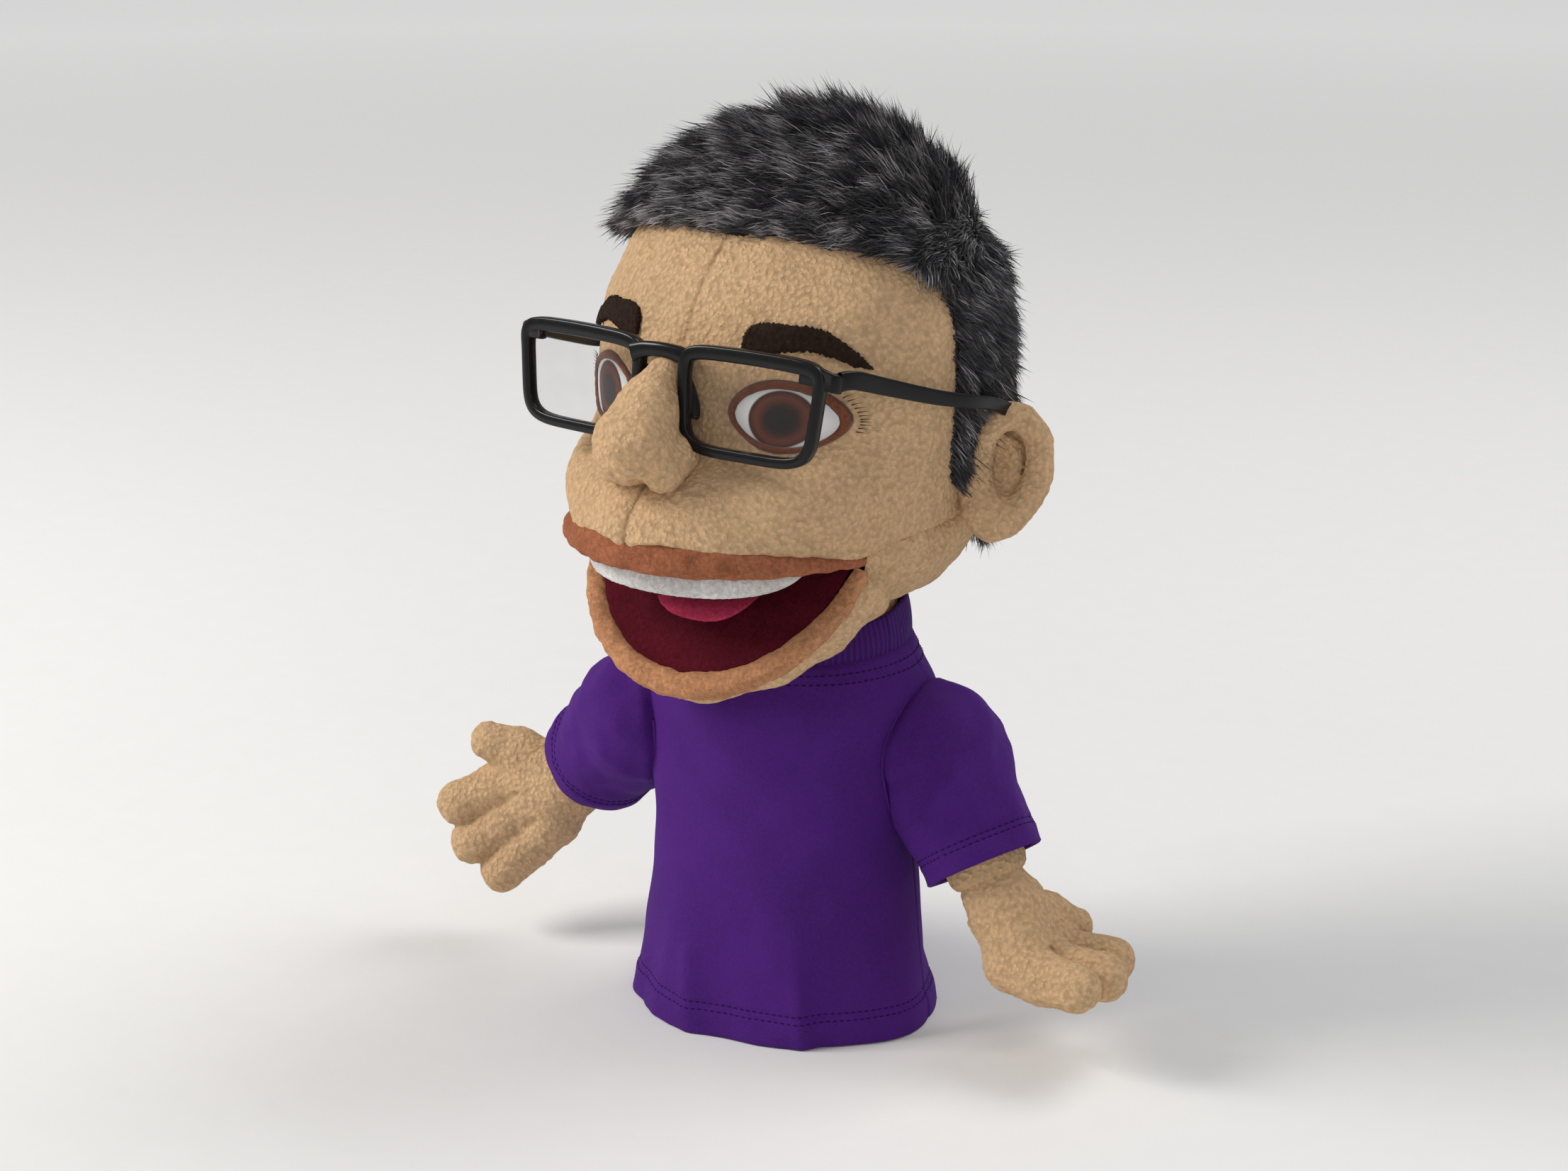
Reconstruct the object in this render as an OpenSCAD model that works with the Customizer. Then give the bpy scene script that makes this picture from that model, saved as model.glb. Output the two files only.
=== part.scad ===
// Moving mouth hand puppet: a soft glove puppet with a hinged mouth, plastic
// spectacles, a jersey T-shirt and two mitt hands. Millimetres, +Z up.
// The face looks along -Y, the puppet's left hand is on the +X side, and the
// origin is on the floor at the middle of the body's bottom opening.

/* [Body] */
// Half width of the shirt at its hem
hem_a = 60; // [54:1:66]
// Half depth of the shirt at its hem
hem_b = 46; // [42:1:52]
// Half width of the shirt at the chest
chest_a = 51; // [48:1:56]
// Half depth of the shirt at the chest
chest_b = 38; // [36:1:42]
// Height of the chest's narrowest level
chest_z = 84; // [76:1:90]
// Height where the body closes in on the neck
yoke_z = 146; // [144:1:147]
// Turn of the body under the head at rest, in degrees
body_turn = 16; // [0:1:24]
// Thickness of the jersey
shirt_t = 1.8; // [1.2:0.1:2.2]
// Thickness of the foam-backed body tube
tube_t = 4.5; // [3.5:0.1:5.5]
// Height of the bound edge around the hand opening
binding_h = 6; // [4:0.5:8]

/* [Neck] */
// Radius of the neck tube and of its round top
neck_r = 38; // [37:0.1:39]
// Wall of the neck tube
neck_wall = 5; // [4:0.1:6]
// Distance of the neck behind the body's middle
neck_y = 12; // [10:0.5:14]
// Height of the centre that the head nods about
neck_z = 160; // [159:0.5:161]
// Length of the round top above that centre
neck_top_h = 15; // [13:0.5:16]
// Thickness of the rib collar
collar_t = 3.4; // [2.6:0.1:4]
// Width of the rib collar at the front
collar_w = 9; // [7:0.5:10]
// Rise of the collar's edge towards the back, in degrees
collar_tilt = 6; // [3:0.5:6.5]

/* [Head] */
// Half width of the head at the temples
head_a = 73; // [71:0.5:75]
// Height of the top of the scalp
scalp_z = 335; // [331:1:338]
// Thickness of the fleece skin
skin_t = 2.4; // [1.8:0.1:3]
// Length of the fur on the crown
crown_fur = 12; // [9:0.5:14]
// Length of the fur on the sides and back
side_fur = 6.5; // [5:0.1:7]
// Half width of the finger space above the mouth
finger_a = 37; // [32:1:40]
// Height of the finger space
finger_h = 26; // [22:1:30]
// Radius of the round way up into the head
hand_way_r = 33; // [31:0.1:34]

/* [Mouth] */
// Height of the mouth's fold line
fold_z = 192; // [190:1:194]
// Distance of the fold line in front of the body's middle
fold_y = 30; // [28:1:32]
// Half width of a mouth board
board_a = 52; // [49:0.5:54]
// Length of a mouth board
board_l = 53; // [50:0.5:55]
// Thickness of a mouth board
board_t = 2; // [1.5:0.1:2.5]
// Thickness of the felt mouth lining
lining_t = 1.2; // [0.8:0.1:1.6]
// Radius of the plush lip roll
lip_r = 5; // [4:0.1:5.5]
// Upward slope of the upper board, in degrees
upper_slope = 6; // [4:0.5:8]
// Downward slope of the lower board at rest, in degrees
lower_slope = 50; // [44:1:54]
// Height of the teeth strip
teeth_h = 10; // [8:0.5:10.5]
// Thickness of the teeth strip
teeth_t = 2; // [1.4:0.1:2.4]
// Half width of the tongue
tongue_a = 18; // [14:0.5:22]
// Length of the tongue
tongue_l = 28; // [25:1:31]
// Thickness of the tongue
tongue_t = 2.6; // [1.6:0.1:3]
// Half width of the thumb pocket
thumb_a = 17; // [14:0.5:20]
// Length of the thumb pocket
thumb_l = 28; // [24:1:30]
// Height of the thumb pocket
thumb_h = 9; // [8:0.5:9.5]
// Depth of the jaw padding under the lower board
jaw_depth = 12; // [11:0.5:13]

/* [Face] */
// Radius of the nose ball
nose_r = 15; // [13:0.5:16]
// Height of the nose ball
nose_z = 239; // [237:0.5:241]
// Height of the eyes
eye_z = 249; // [247:0.5:251]
// Distance of each eye from the middle
eye_x = 39; // [37:0.5:41]
// Half width of an eye
eye_a = 15; // [13:0.5:16]
// Half height of an eye
eye_b = 9.5; // [8:0.5:10]
// Width of the lid ring around an eye
lid_w = 3; // [2:0.1:4]
// Height of the ears
ear_z = 219; // [217:0.5:221]
// Thickness of an ear's rolled rim
ear_r = 7; // [6:0.2:8]

/* [Spectacles] */
// Overall width of one rim
rim_w = 58; // [54:0.5:60]
// Overall height of one rim
rim_h = 38; // [34:0.5:39]
// Width of the plastic around a lens
rim_edge = 4; // [3:0.1:5]
// Thickness of the front, front to back
rim_t = 4; // [3.4:0.1:4.6]
// Thickness of a lens
lens_t = 1.6; // [1.2:0.1:2]
// Gap between the two rims at the bridge
bridge_w = 17; // [16:0.5:19]
// Distance of the bridge in front of the body's middle
front_y = 70; // [69:0.5:72]
// Height of the front's top edge
front_z = 273; // [272:0.5:275]
// Backward lean of the front, in degrees
front_lean = 6; // [4:0.5:7]
// Wrap of each half of the front, in degrees
front_wrap = 4; // [3:0.5:5]
// Height of a temple arm
temple_h = 6; // [5:0.2:7]
// Thickness of a temple arm
temple_t = 3; // [2.4:0.1:3.4]
// Radius of a temple hinge's barrel
hinge_r = 2.4; // [2.1:0.1:2.7]
// Radius of a temple hinge's pin
pin_r = 0.9; // [0.7:0.05:1.1]

/* [Arms] */
// Distance of each shoulder from the body's middle
shoulder_x = 60; // [58:0.5:62]
// Distance of the shoulders behind the body's middle
shoulder_y = 4; // [2:0.5:6]
// Height of the shoulders
shoulder_z = 108; // [106:0.5:110]
// Radius of a sleeve's round head
sleeve_r = 26; // [24:0.5:27]
// Radius of a sleeve at its hem
sleeve_hem_r = 21.5; // [20:0.5:23]
// Length of a sleeve from the shoulder's centre
sleeve_l = 44; // [40:1:46]
// Distance from shoulder to wrist
arm_l = 56; // [54:1:60]
// Radius of an arm at the wrist
wrist_r = 15; // [14:0.2:16]
// Radius of a stuffed finger
finger_r = 9.5; // [8.5:0.1:10.5]
// Thickness of the palm
palm_t = 24; // [20:1:28]

/* [Hidden] */

// Colours
skin_col = "#D4AA76";
jersey_col = "#3E1470";
fur_col = "#3A3638";
lip_col = "#9A5230";
felt_brown = "#2E1C14";
maroon = "#4A0C14";
rose = "#B03A50";
frame_col = "#101012";
board_col = "#8C7A5E";
foam_col = "#E6DFC8";

// Clearances
run_gap = 0.35;      // between a fixed and a moving round face
seat_gap = 0.25;     // between trim and what it is sewn on
seam_gap = 0.3;      // between two sewn panels
fold_gap = 0.4;      // between a board and the fold tape

// Fineness of lofted rings and of hull spheres
ring_n = 28;
ball_n = 20;
big = 400;

// ---------- lofts ----------
// Joins equal rings of points, listed from the bottom up and counterclockwise from above.
module loft(rings) {
  n = len(rings[0]);
  m = len(rings);
  sides = [for (j = [0:m - 2], i = [0:n - 1]) let (k = (i + 1) % n)
    each [[j * n + i, (j + 1) * n + i, (j + 1) * n + k], [j * n + i, (j + 1) * n + k, j * n + k]]];
  low = [for (i = [0:n - 1]) i];
  high = [for (i = [n - 1:-1:0]) (m - 1) * n + i];
  polyhedron(points = [for (r = rings) each r], faces = concat(sides, [low, high]), convexity = 6);
}

// A ring made of a front and a back half ellipse, grown by g on every side.
// s = [height, half width, front y, back y, y of the widest place, how far growth lifts it]
function head_ring(s, g) = [for (i = [0:ring_n - 1])
  let (a = 360 * i / ring_n, c = cos(a), v = sin(a))
  [(s[1] + g) * c,
   v < 0 ? s[4] + (s[4] - s[2] + g) * v : s[4] + (s[3] + g - s[4]) * v,
   s[0] + g * s[5]]];

// Levels of the head's skin, from the neck up to the top of the scalp
head_levels = [
  [174, 48, -30, 62, 8, -1],
  [180, 58, -50, 72, 8, -0.7],
  [188, 64, -80, 79, 7, -0.3],
  [198, 67, -92, 83, 6, 0],
  [210, 69, -92, 85, 5, 0],
  [221, 70.5, -85, 86, 5, 0],
  [231, head_a - 1.5, -71, 86, 5, 0],
  [239, head_a - 0.5, -63.5, 86, 5, 0],
  [252, head_a, -62, 86, 5, 0],
  [266, head_a, -59.5, 85, 5, 0],
  [280, head_a - 2, -54, 82, 6, 0.1],
  [294, head_a - 7, -44, 76, 8, 0.3],
  [307, head_a - 15, -31, 67, 12, 0.5],
  [scalp_z - 16, head_a - 26, -15, 55, 16, 0.7],
  [scalp_z - 6, head_a - 42, 4, 43, 20, 0.9],
  [scalp_z, head_a - 60, 20, 33, 26, 1]
];
module skull(g = 0) {
  loft([for (s = head_levels) head_ring(s, g)]);
}

// Ring of the shirt's surface: s = [height, half width, half depth, y of its middle]
function body_ring(s, g) = [for (i = [0:ring_n - 1]) let (a = 360 * i / ring_n)
  [(s[1] + g) * cos(a), s[3] + (s[2] + g) * sin(a), s[0]]];

// Levels of the shirt's outside, from the hem to the yoke
body_levels = [
  [0, hem_a, hem_b, 0],
  [chest_z * 0.3, hem_a - (hem_a - chest_a) * 0.45, hem_b - (hem_b - chest_b) * 0.45, 0],
  [chest_z * 0.7, hem_a - (hem_a - chest_a) * 0.9, hem_b - (hem_b - chest_b) * 0.9, 1],
  [chest_z, chest_a, chest_b, 2],
  [shoulder_z + 2, chest_a + 5, chest_b, 4],
  [shoulder_z + 20, chest_a + 5, chest_b + 7, 9],
  [yoke_z - 8, neck_r + 12, neck_r + 6, neck_y - 2],
  [yoke_z, neck_r + 7, neck_r + 6, neck_y - 0.5]
];
module torso(g = 0) {
  rotate([0, 0, body_turn]) loft([for (s = body_levels) body_ring(s, g)]);
}

// Places children with the shoulder's centre at the origin: side is 1 for left, -1 for right
module at_shoulder(side) {
  rotate([0, 0, body_turn]) translate([side * shoulder_x, shoulder_y, shoulder_z]) children();
}
module at_neck() {
  rotate([0, 0, body_turn]) translate([0, neck_y, 0]) children();
}

// Lowest swing of an arm from rest, in degrees
arm_low = -6;
// Round sockets for the sleeve heads, and the room that the lowered sleeves lie in
module shoulder_sockets() {
  for (side = [1, -1]) {
    at_shoulder(side) sphere(r = sleeve_r + run_gap, $fn = 64);
    for (swing = [arm_low, 0, -arm_low]) arm_frame(side, swing) sleeve_cone(run_gap);
  }
}

// ---------- body ----------
binding_w = tube_t + 0.6;
module hem_oval(g) {
  polygon([for (i = [0:95]) let (a = 3.75 * i) [(hem_a + g) * cos(a), (hem_b + g) * sin(a)]]);
}
shirt_in = -shirt_t;
tube_out = shirt_in - seat_gap;

module hand_opening_binding() {
  color(skin_col) rotate([0, 0, body_turn]) linear_extrude(binding_h) difference() {
    hem_oval(tube_out - 1.2);
    hem_oval(tube_out - 1.2 - binding_w);
  }
}

module body_tube() {
  color(foam_col) difference() {
    torso(tube_out);
    torso(tube_out - tube_t);
    translate([0, 0, -big / 2 + binding_h + 0.05]) cube([big, big, big], center = true);
    translate([0, 0, yoke_z - seat_h]) linear_extrude(big) square(big, center = true);
    neck_bearing();
    shoulder_sockets();
  }
  color(foam_col) neck_seat();
}

// The ring at the top of the body that the neck tube turns in
seat_h = 14;
neck_end_z = yoke_z - seat_h - 3;
module neck_bearing() {
  at_neck() translate([0, 0, neck_end_z - 2])
    cylinder(r = neck_r + run_gap, h = 2 * seat_h, $fn = 96);
}
module neck_seat() {
  difference() {
    intersection() {
      torso(tube_out);
      translate([0, 0, yoke_z - seat_h]) linear_extrude(seat_h - 1) square(big, center = true);
    }
    neck_bearing();
    shoulder_sockets();
  }
}

module shirt_shell() {
  difference() {
    torso(0);
    torso(shirt_in);
    translate([0, 0, -big / 2 + 1.2]) cube([big, big, big], center = true);
    shoulder_sockets();
  }
}
module shirt_half(sign) {
  intersection() {
    shirt_shell();
    rotate([0, 0, body_turn]) translate([0, sign * (big / 2 + seam_gap / 2) + 2, big / 2])
      cube([big, big, big], center = true);
  }
}
module shirt_front() { color(jersey_col) shirt_half(-1); }
module shirt_back() { color(jersey_col) shirt_half(1); }

// A ring on the yoke, whose top edge rises towards the back
collar_in = neck_r + 3;
collar_out = collar_in + collar_t;
module collar_rib() {
  color(jersey_col) at_neck() translate([0, 0, yoke_z + seam_gap]) difference() {
    cylinder(r1 = collar_out + 0.8, r2 = collar_out, h = collar_w + 20, $fn = 96);
    translate([0, 0, -1]) cylinder(r = collar_in, h = collar_w + 22, $fn = 96);
    translate([0, -collar_out, collar_w]) rotate([collar_tilt, 0, 0])
      translate([-big / 2, -big / 2, 0]) cube([big, big, big]);
  }
}

// ---------- neck ----------
module neck_tube() {
  color(skin_col) at_neck() difference() {
    union() {
      translate([0, 0, neck_end_z]) cylinder(r = neck_r, h = neck_z - neck_end_z, $fn = 96);
      translate([0, 0, neck_z]) intersection() {
        sphere(r = neck_r, $fn = 96);
        translate([0, 0, -1]) cylinder(r = neck_r + 1, h = neck_top_h + 1, $fn = 96);
      }
    }
    translate([0, 0, neck_end_z - 1]) cylinder(r = neck_r - neck_wall, h = 60, $fn = 96);
  }
}

// ---------- mouth frames ----------
module at_fold() { translate([0, -fold_y, fold_z]) children(); }
module upper_frame() { at_fold() rotate([-upper_slope, 0, 0]) children(); }
module lower_frame() { at_fold() rotate([lower_slope, 0, 0]) children(); }

fold_r = 1.8;
// The felt starts this far in front of the fold, so that the mouth can close on it
lining_back = 5.4 * lining_t;
// Half oval of a mouth board, grown by g, cut back from the fold
module mouth_oval(g = 0) {
  polygon(concat(
    [for (a = [-90:6:90]) [(board_a + g) * sin(a), -(board_l + g) * cos(a)]]));
}
module mouth_plate(t, back = fold_r + fold_gap) {
  linear_extrude(t) difference() {
    mouth_oval();
    translate([-big / 2, -back]) square([big, big]);
  }
}

// Ring of a lip roll at angle a along the half oval
function lip_ring(a, ax, ly, r) = let (
  t0 = [ax * cos(a), ly * sin(a), 0],
  t = t0 / norm(t0),
  out = [t[1], -t[0], 0],
  p = [ax * sin(a), -ly * cos(a), 0])
  [for (i = [0:11]) p + r * (cos(30 * i) * out - sin(30 * i) * [0, 0, 1])];
module lip_roll(r, g = 0) {
  edge = r + seam_gap;
  loft([for (a = [-72:6:72]) lip_ring(a, board_a + edge, board_l + edge,
    (r + g) * (0.62 + 0.38 * pow(cos(a), 0.5)))]);
}

// ---------- head ----------
// Everything below the upper board and in front of the fold
module mouth_room() {
  upper_frame() translate([-big / 2, -big, -big]) cube([big, big, big + board_t + seat_gap]);
  at_fold() rotate([lower_slope + 8, 0, 0]) translate([-big / 2, -big, -big])
    cube([big, big + 12, big]);
}
module head_cavity() {
  at_neck() translate([0, 0, neck_z]) cylinder(r = hand_way_r, h = 74, $fn = 64);
  upper_frame() translate([-finger_a, -board_l + 12, board_t]) cube([2 * finger_a, board_l + 6, finger_h]);
  translate([-finger_a + 1, -fold_y - 1, fold_z + board_t + 1])
    cube([2 * finger_a - 2, fold_y + neck_y, finger_h - 2]);
  translate([-22, -fold_y - 12, neck_z + neck_top_h]) cube([44, fold_y + 12, fold_z - neck_z - neck_top_h + 4]);
}
module neck_socket() {
  at_neck() translate([0, 0, neck_z]) sphere(r = neck_r + run_gap, $fn = 96);
}
module lip_room() {
  upper_frame() translate([0, 0, 1]) lip_roll(lip_r, seat_gap);
}
module head_foam() {
  color(foam_col) difference() {
    skull(-skin_t - seat_gap);
    mouth_room();
    head_cavity();
    neck_socket();
    lip_room();
    fold_room(0.9);
  }
}
module fold_room(g = 0) {
  at_fold() rotate([0, 90, 0])
    cylinder(r = fold_r + fold_gap + g, h = 2 * board_a + 24, center = true, $fn = 24);
}

// Side outline of the face skin, in y and z: in front of the hair and below the hairline
hair_y = 3;
hair_side_z = 295;
hair_front_z = 306;
ear_line_z = 213;
nape_z = 190;
nape_y = 36;
module face_outline() {
  polygon([[-big, -big], [big, -big], [big, nape_z], [nape_y, nape_z], [nape_y, ear_line_z],
    [hair_y, ear_line_z], [hair_y, hair_side_z], [-70, hair_front_z], [-big, hair_front_z]]);
}
module side_prism(half) {
  rotate([90, 0, 90]) translate([0, 0, half > 0 ? seam_gap / 2 : -big - seam_gap / 2])
    linear_extrude(big) children();
}
module face_panel(half) {
  difference() {
    intersection() {
      difference() {
        skull(0);
        skull(-skin_t);
      }
      side_prism(half) face_outline();
    }
    mouth_room();
    lip_room();
    neck_socket();
    fold_room();
    at_neck() cylinder(r = neck_r + run_gap, h = neck_z + neck_top_h + 4, $fn = 96);
  }
}
module face_panel_left() { color(skin_col) face_panel(1); }
module face_panel_right() { color(skin_col) face_panel(-1); }

module wig_crown() {
  color(fur_col) difference() {
    skull(crown_fur);
    skull(-skin_t);
    rotate([90, 0, 90]) translate([0, 0, -big / 2]) linear_extrude(big) polygon([
      [-big, -big], [big, -big], [big, hair_side_z + 6], [hair_y, hair_side_z + seam_gap],
      [-70, hair_front_z + seam_gap], [-big, hair_front_z + seam_gap]]);
  }
}
module wig_back() {
  color(fur_col) intersection() {
    difference() {
      skull(side_fur);
      skull(-skin_t);
      neck_socket();
    }
    rotate([90, 0, 90]) translate([0, 0, -big / 2]) linear_extrude(big) polygon([
      [hair_y + seam_gap, ear_line_z + seam_gap], [nape_y + seam_gap, ear_line_z + seam_gap],
      [nape_y + seam_gap, nape_z + seam_gap], [big, nape_z + seam_gap], [big, hair_side_z + 5.5],
      [hair_y + seam_gap, hair_side_z - seam_gap]]);
  }
}

module nose_shape(g = 0) {
  hull() {
    translate([0, -84, nose_z]) sphere(r = nose_r + g, $fn = 24);
    for (s = [1, -1]) translate([s * (nose_r - 5), -79, nose_z - 6]) sphere(r = nose_r - 6 + g, $fn = ball_n);
    translate([0, -60, nose_z + 24]) sphere(r = nose_r - 8.5 + g, $fn = ball_n);
  }
}
module nose() {
  color(skin_col) difference() {
    nose_shape();
    skull(seat_gap);
  }
}

// An ear: a rolled leaf standing out and back from the side of the head
ear_x = head_a + 12;
module ear(side) {
  slot = head_a + side_fur + 9.5;
  color(skin_col) difference() {
    mirror([side < 0 ? 1 : 0, 0, 0]) difference() {
      hull() {
        translate([ear_x - 4, 17, ear_z + 12]) sphere(r = ear_r - 1, $fn = ball_n);
        translate([ear_x + 5, 32, ear_z + 15]) sphere(r = ear_r, $fn = ball_n);
        translate([ear_x + 5, 36, ear_z]) sphere(r = ear_r, $fn = ball_n);
        translate([ear_x - 4, 22, ear_z - 16]) sphere(r = ear_r - 1, $fn = ball_n);
      }
      translate([ear_x + 6, 18, ear_z + 2]) sphere(r = 11, $fn = ball_n);
      translate([-big + slot, -big / 2, ear_z + 11]) cube([big, big, big]);
    }
    skull(side_fur + seat_gap);
  }
}
module ear_left() { ear(1); }
module ear_right() { ear(-1); }

// A thin piece lying on the face, cut from a block pushed back through the skin
module on_face(t, lift = 0) {
  intersection() {
    difference() {
      skull(seat_gap + lift + t);
      skull(seat_gap + lift);
    }
    translate([0, -20, 0]) rotate([90, 0, 0]) linear_extrude(big) children();
  }
}
module eye_oval(side, g) {
  translate([side * eye_x, eye_z]) polygon([for (i = [0:23])
    [(eye_a + g) * cos(15 * i), (eye_b + g) * sin(15 * i)]]);
}
module eye_patch(side) {
  color("#EDE8E2") on_face(0.8) eye_oval(side, 0);
}
module eyelid_ring(side) {
  color(lip_col) on_face(1.4) difference() {
    eye_oval(side, lid_w);
    eye_oval(side, seam_gap);
  }
}
module eyebrow(side) {
  color(felt_brown) on_face(1.6) translate([side * eye_x, eye_z + 24]) scale([side, 1]) polygon([
    [-20, -3], [-18, 5], [4, 5], [22, -5], [20, -8], [2, -3]]);
}
module eye_patch_left() { eye_patch(1); }
module eye_patch_right() { eye_patch(-1); }
module eyelid_ring_left() { eyelid_ring(1); }
module eyelid_ring_right() { eyelid_ring(-1); }
module eyebrow_left() { eyebrow(1); }
module eyebrow_right() { eyebrow(-1); }

module upper_mouth_board() { color(board_col) upper_frame() mouth_plate(board_t); }
module upper_mouth_lining() {
  color(maroon) upper_frame() translate([0, 0, -lining_t - 0.02]) mouth_plate(lining_t, lining_back);
}
module mouth_hinge_tape() {
  color(maroon) at_fold() rotate([0, 90, 0])
    cylinder(r = fold_r, h = 2 * board_a, center = true, $fn = 24);
}
module upper_lip() { color(lip_col) upper_frame() translate([0, 0, 1]) lip_roll(lip_r); }
module teeth_strip() {
  color("#F0EEEA") intersection() {
    teeth_taper();
    upper_teeth();
  }
}
module upper_teeth() {
  upper_frame() translate([0, 0, -lining_t - 0.05 - teeth_h]) linear_extrude(teeth_h)
    difference() {
      mouth_oval(-1.5);
      mouth_oval(-1.5 - teeth_t);
      translate([-big / 2, -board_l * 0.42]) square([big, big]);
    }
}
// Everything above a plane through the fold, which tapers the teeth towards their ends
module teeth_taper() {
  upper_frame() rotate([15, 0, 0]) translate([-big / 2, -big, 0]) cube([big, big, big]);
}
pocket_t = 1.2;
module finger_pocket() {
  color(maroon) upper_frame() translate([-finger_a + 2, -board_l + 14, board_t + 0.05]) difference() {
    cube([2 * finger_a - 4, 34, 20]);
    translate([pocket_t, pocket_t, pocket_t])
      cube([2 * finger_a - 4 - 2 * pocket_t, 34, 20 - 2 * pocket_t]);
  }
}

// ---------- jaw ----------
jaw_wall = 3;
// Padding under the lower board: a half oval that shrinks as it goes down
function jaw_ring(z, ga, gl, rear) = [for (i = [0:ring_n - 1])
  let (a = 360 * i / ring_n, c = cos(a), v = sin(a))
  [(board_a + ga) * c, v < 0 ? (board_l + gl) * v - rear : -rear + 0.5 * v, z]];
module jaw_shape(g = 0) {
  top = -board_t - seat_gap;
  loft([jaw_ring(top - jaw_depth - g, -12 + g, -26 + g, fold_r + 10 - g),
    jaw_ring(top - jaw_depth * 0.7 - g, -5 + g, -12 + g, fold_r + 6 - g),
    jaw_ring(top - jaw_depth * 0.35 - g, 0 + g, -1 + g, fold_r + 3 - g),
    jaw_ring(top, -0.2 + g, -0.2 + g, fold_r + 1.5 - g)]);
}
module jaw_cover() {
  color(skin_col) lower_frame() difference() {
    jaw_shape();
    translate([0, 0, jaw_wall]) jaw_shape(-jaw_wall);
    translate([-thumb_a - seat_gap, -thumb_l - 8 - seat_gap, -board_t - thumb_h - 2 * seat_gap])
      cube([2 * (thumb_a + seat_gap), thumb_l + 20, thumb_h + board_t]);
    translate([0, 0, -1]) lip_roll(lip_r, seat_gap);
  }
}
module lower_mouth_board() {
  color(board_col) lower_frame() translate([0, 0, -board_t]) mouth_plate(board_t);
}
module lower_mouth_lining() {
  color(maroon) lower_frame() translate([0, 0, 0.02]) mouth_plate(lining_t, lining_back);
}
module lower_lip() { color(lip_col) lower_frame() translate([0, 0, -1]) lip_roll(lip_r); }
tongue_tilt = 6;
tongue_back = 3.5 * (lining_t + tongue_t);
module tongue() {
  color(rose) lower_frame() translate([0, -tongue_back, lining_t + 0.1]) rotate([-tongue_tilt, 0, 0])
    linear_extrude(tongue_t) intersection() {
      union() {
        translate([-tongue_a, -tongue_l + tongue_a]) square([2 * tongue_a, tongue_l - tongue_a]);
        translate([0, -tongue_l + tongue_a]) circle(r = tongue_a, $fn = 64);
      }
      translate([-big / 2, -big]) square(big);
    }
}
module thumb_pocket() {
  color(maroon) lower_frame() translate([-thumb_a, -thumb_l - 8, -board_t - 0.1 - thumb_h]) difference() {
    cube([2 * thumb_a, thumb_l, thumb_h]);
    translate([pocket_t, pocket_t, pocket_t])
      cube([2 * (thumb_a - pocket_t), thumb_l, thumb_h - 2 * pocket_t]);
  }
}

// ---------- spectacles ----------
// Places children in the plane of the front: x outwards, y up, z forwards
module front_frame(side) {
  translate([0, -front_y, front_z]) rotate([-front_lean, 0, 0]) rotate([0, 0, side * front_wrap])
    rotate([90, 0, 0]) children();
}
module round_rect(w, h, r) {
  translate([r, 0]) square([w - 2 * r, h]);
  translate([0, r]) square([w, h - 2 * r]);
  for (x = [r, w - r], y = [r, h - r]) translate([x, y]) circle(r = r, $fn = 48);
}
module lens_outline(side, g = 0) {
  scale([side, 1]) translate([bridge_w / 2 + rim_edge - g, -rim_h + rim_edge - g])
    round_rect(rim_w - 2 * rim_edge + 2 * g, rim_h - 2 * rim_edge + 2 * g, 6 + g);
}
module rim(side) {
  front_frame(side) translate([0, 0, -rim_t / 2]) linear_extrude(rim_t) difference() {
    scale([side, 1]) translate([bridge_w / 2, -rim_h]) round_rect(rim_w, rim_h, 8);
    lens_outline(side);
  }
}
// Where the temple hinge's axis passes, seen from above
hinge_x = bridge_w / 2 + rim_w + 1;
hinge_y = front_y - hinge_x * sin(front_wrap) - rim_t / 2 - hinge_r - 0.2;
hinge_z = front_z - 7;
knuckle_h = 1.8;
module end_piece(side) {
  translate([side * (hinge_x - 1), -hinge_y, hinge_z]) mirror([side < 0 ? 1 : 0, 0, 0]) {
    for (z = [-1, 1]) translate([0, 0, z * (knuckle_h + 0.15)]) difference() {
      union() {
        translate([1, 0, 0]) cylinder(r = hinge_r, h = knuckle_h, center = true, $fn = 32);
        translate([0.2, -hinge_r - 1, 0]) cube([2 * hinge_r - 1, 2 * hinge_r + 0.4, knuckle_h], center = true);
      }
      translate([1, 0, 0]) cylinder(r = pin_r + 0.03, h = 10, center = true, $fn = 32);
    }
  }
}
module spectacle_front() {
  color(frame_col) difference() {
    union() {
      rim(1);
      rim(-1);
      bridge();
      end_piece(1);
      end_piece(-1);
      nose_pads();
    }
    nose_way();
  }
}
// The nose, and the room that it needs while the spectacles slide off
module nose_way() {
  hull() {
    nose_shape(0.3);
    translate([0, 10, -10]) nose_shape(0.3);
  }
}
module bridge() {
  translate([0, -front_y + 0.4, front_z - 4.6]) rotate([-front_lean, 0, 0])
    cube([bridge_w + 6, rim_t - 0.6, 5], center = true);
}
module nose_pads() {
  for (s = [1, -1]) hull() {
    translate([s * (bridge_w / 2 + 1.4), -front_y + 3, front_z - 14]) sphere(r = 2, $fn = 16);
    translate([s * (bridge_w / 2 + 2), -front_y + 4.4, front_z - 22]) sphere(r = 2, $fn = 16);
    translate([s * (bridge_w / 2 - 0.8), -front_y + 7, front_z - 17]) sphere(r = 1.6, $fn = 16);
  }
}
module lens(side) {
  color([0.85, 0.9, 0.95, 0.35]) difference() {
    front_frame(side) translate([0, 0, -lens_t / 2]) linear_extrude(lens_t) lens_outline(side, -0.05);
    nose_way();
  }
}
module lens_left() { lens(1); }
module lens_right() { lens(-1); }
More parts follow.
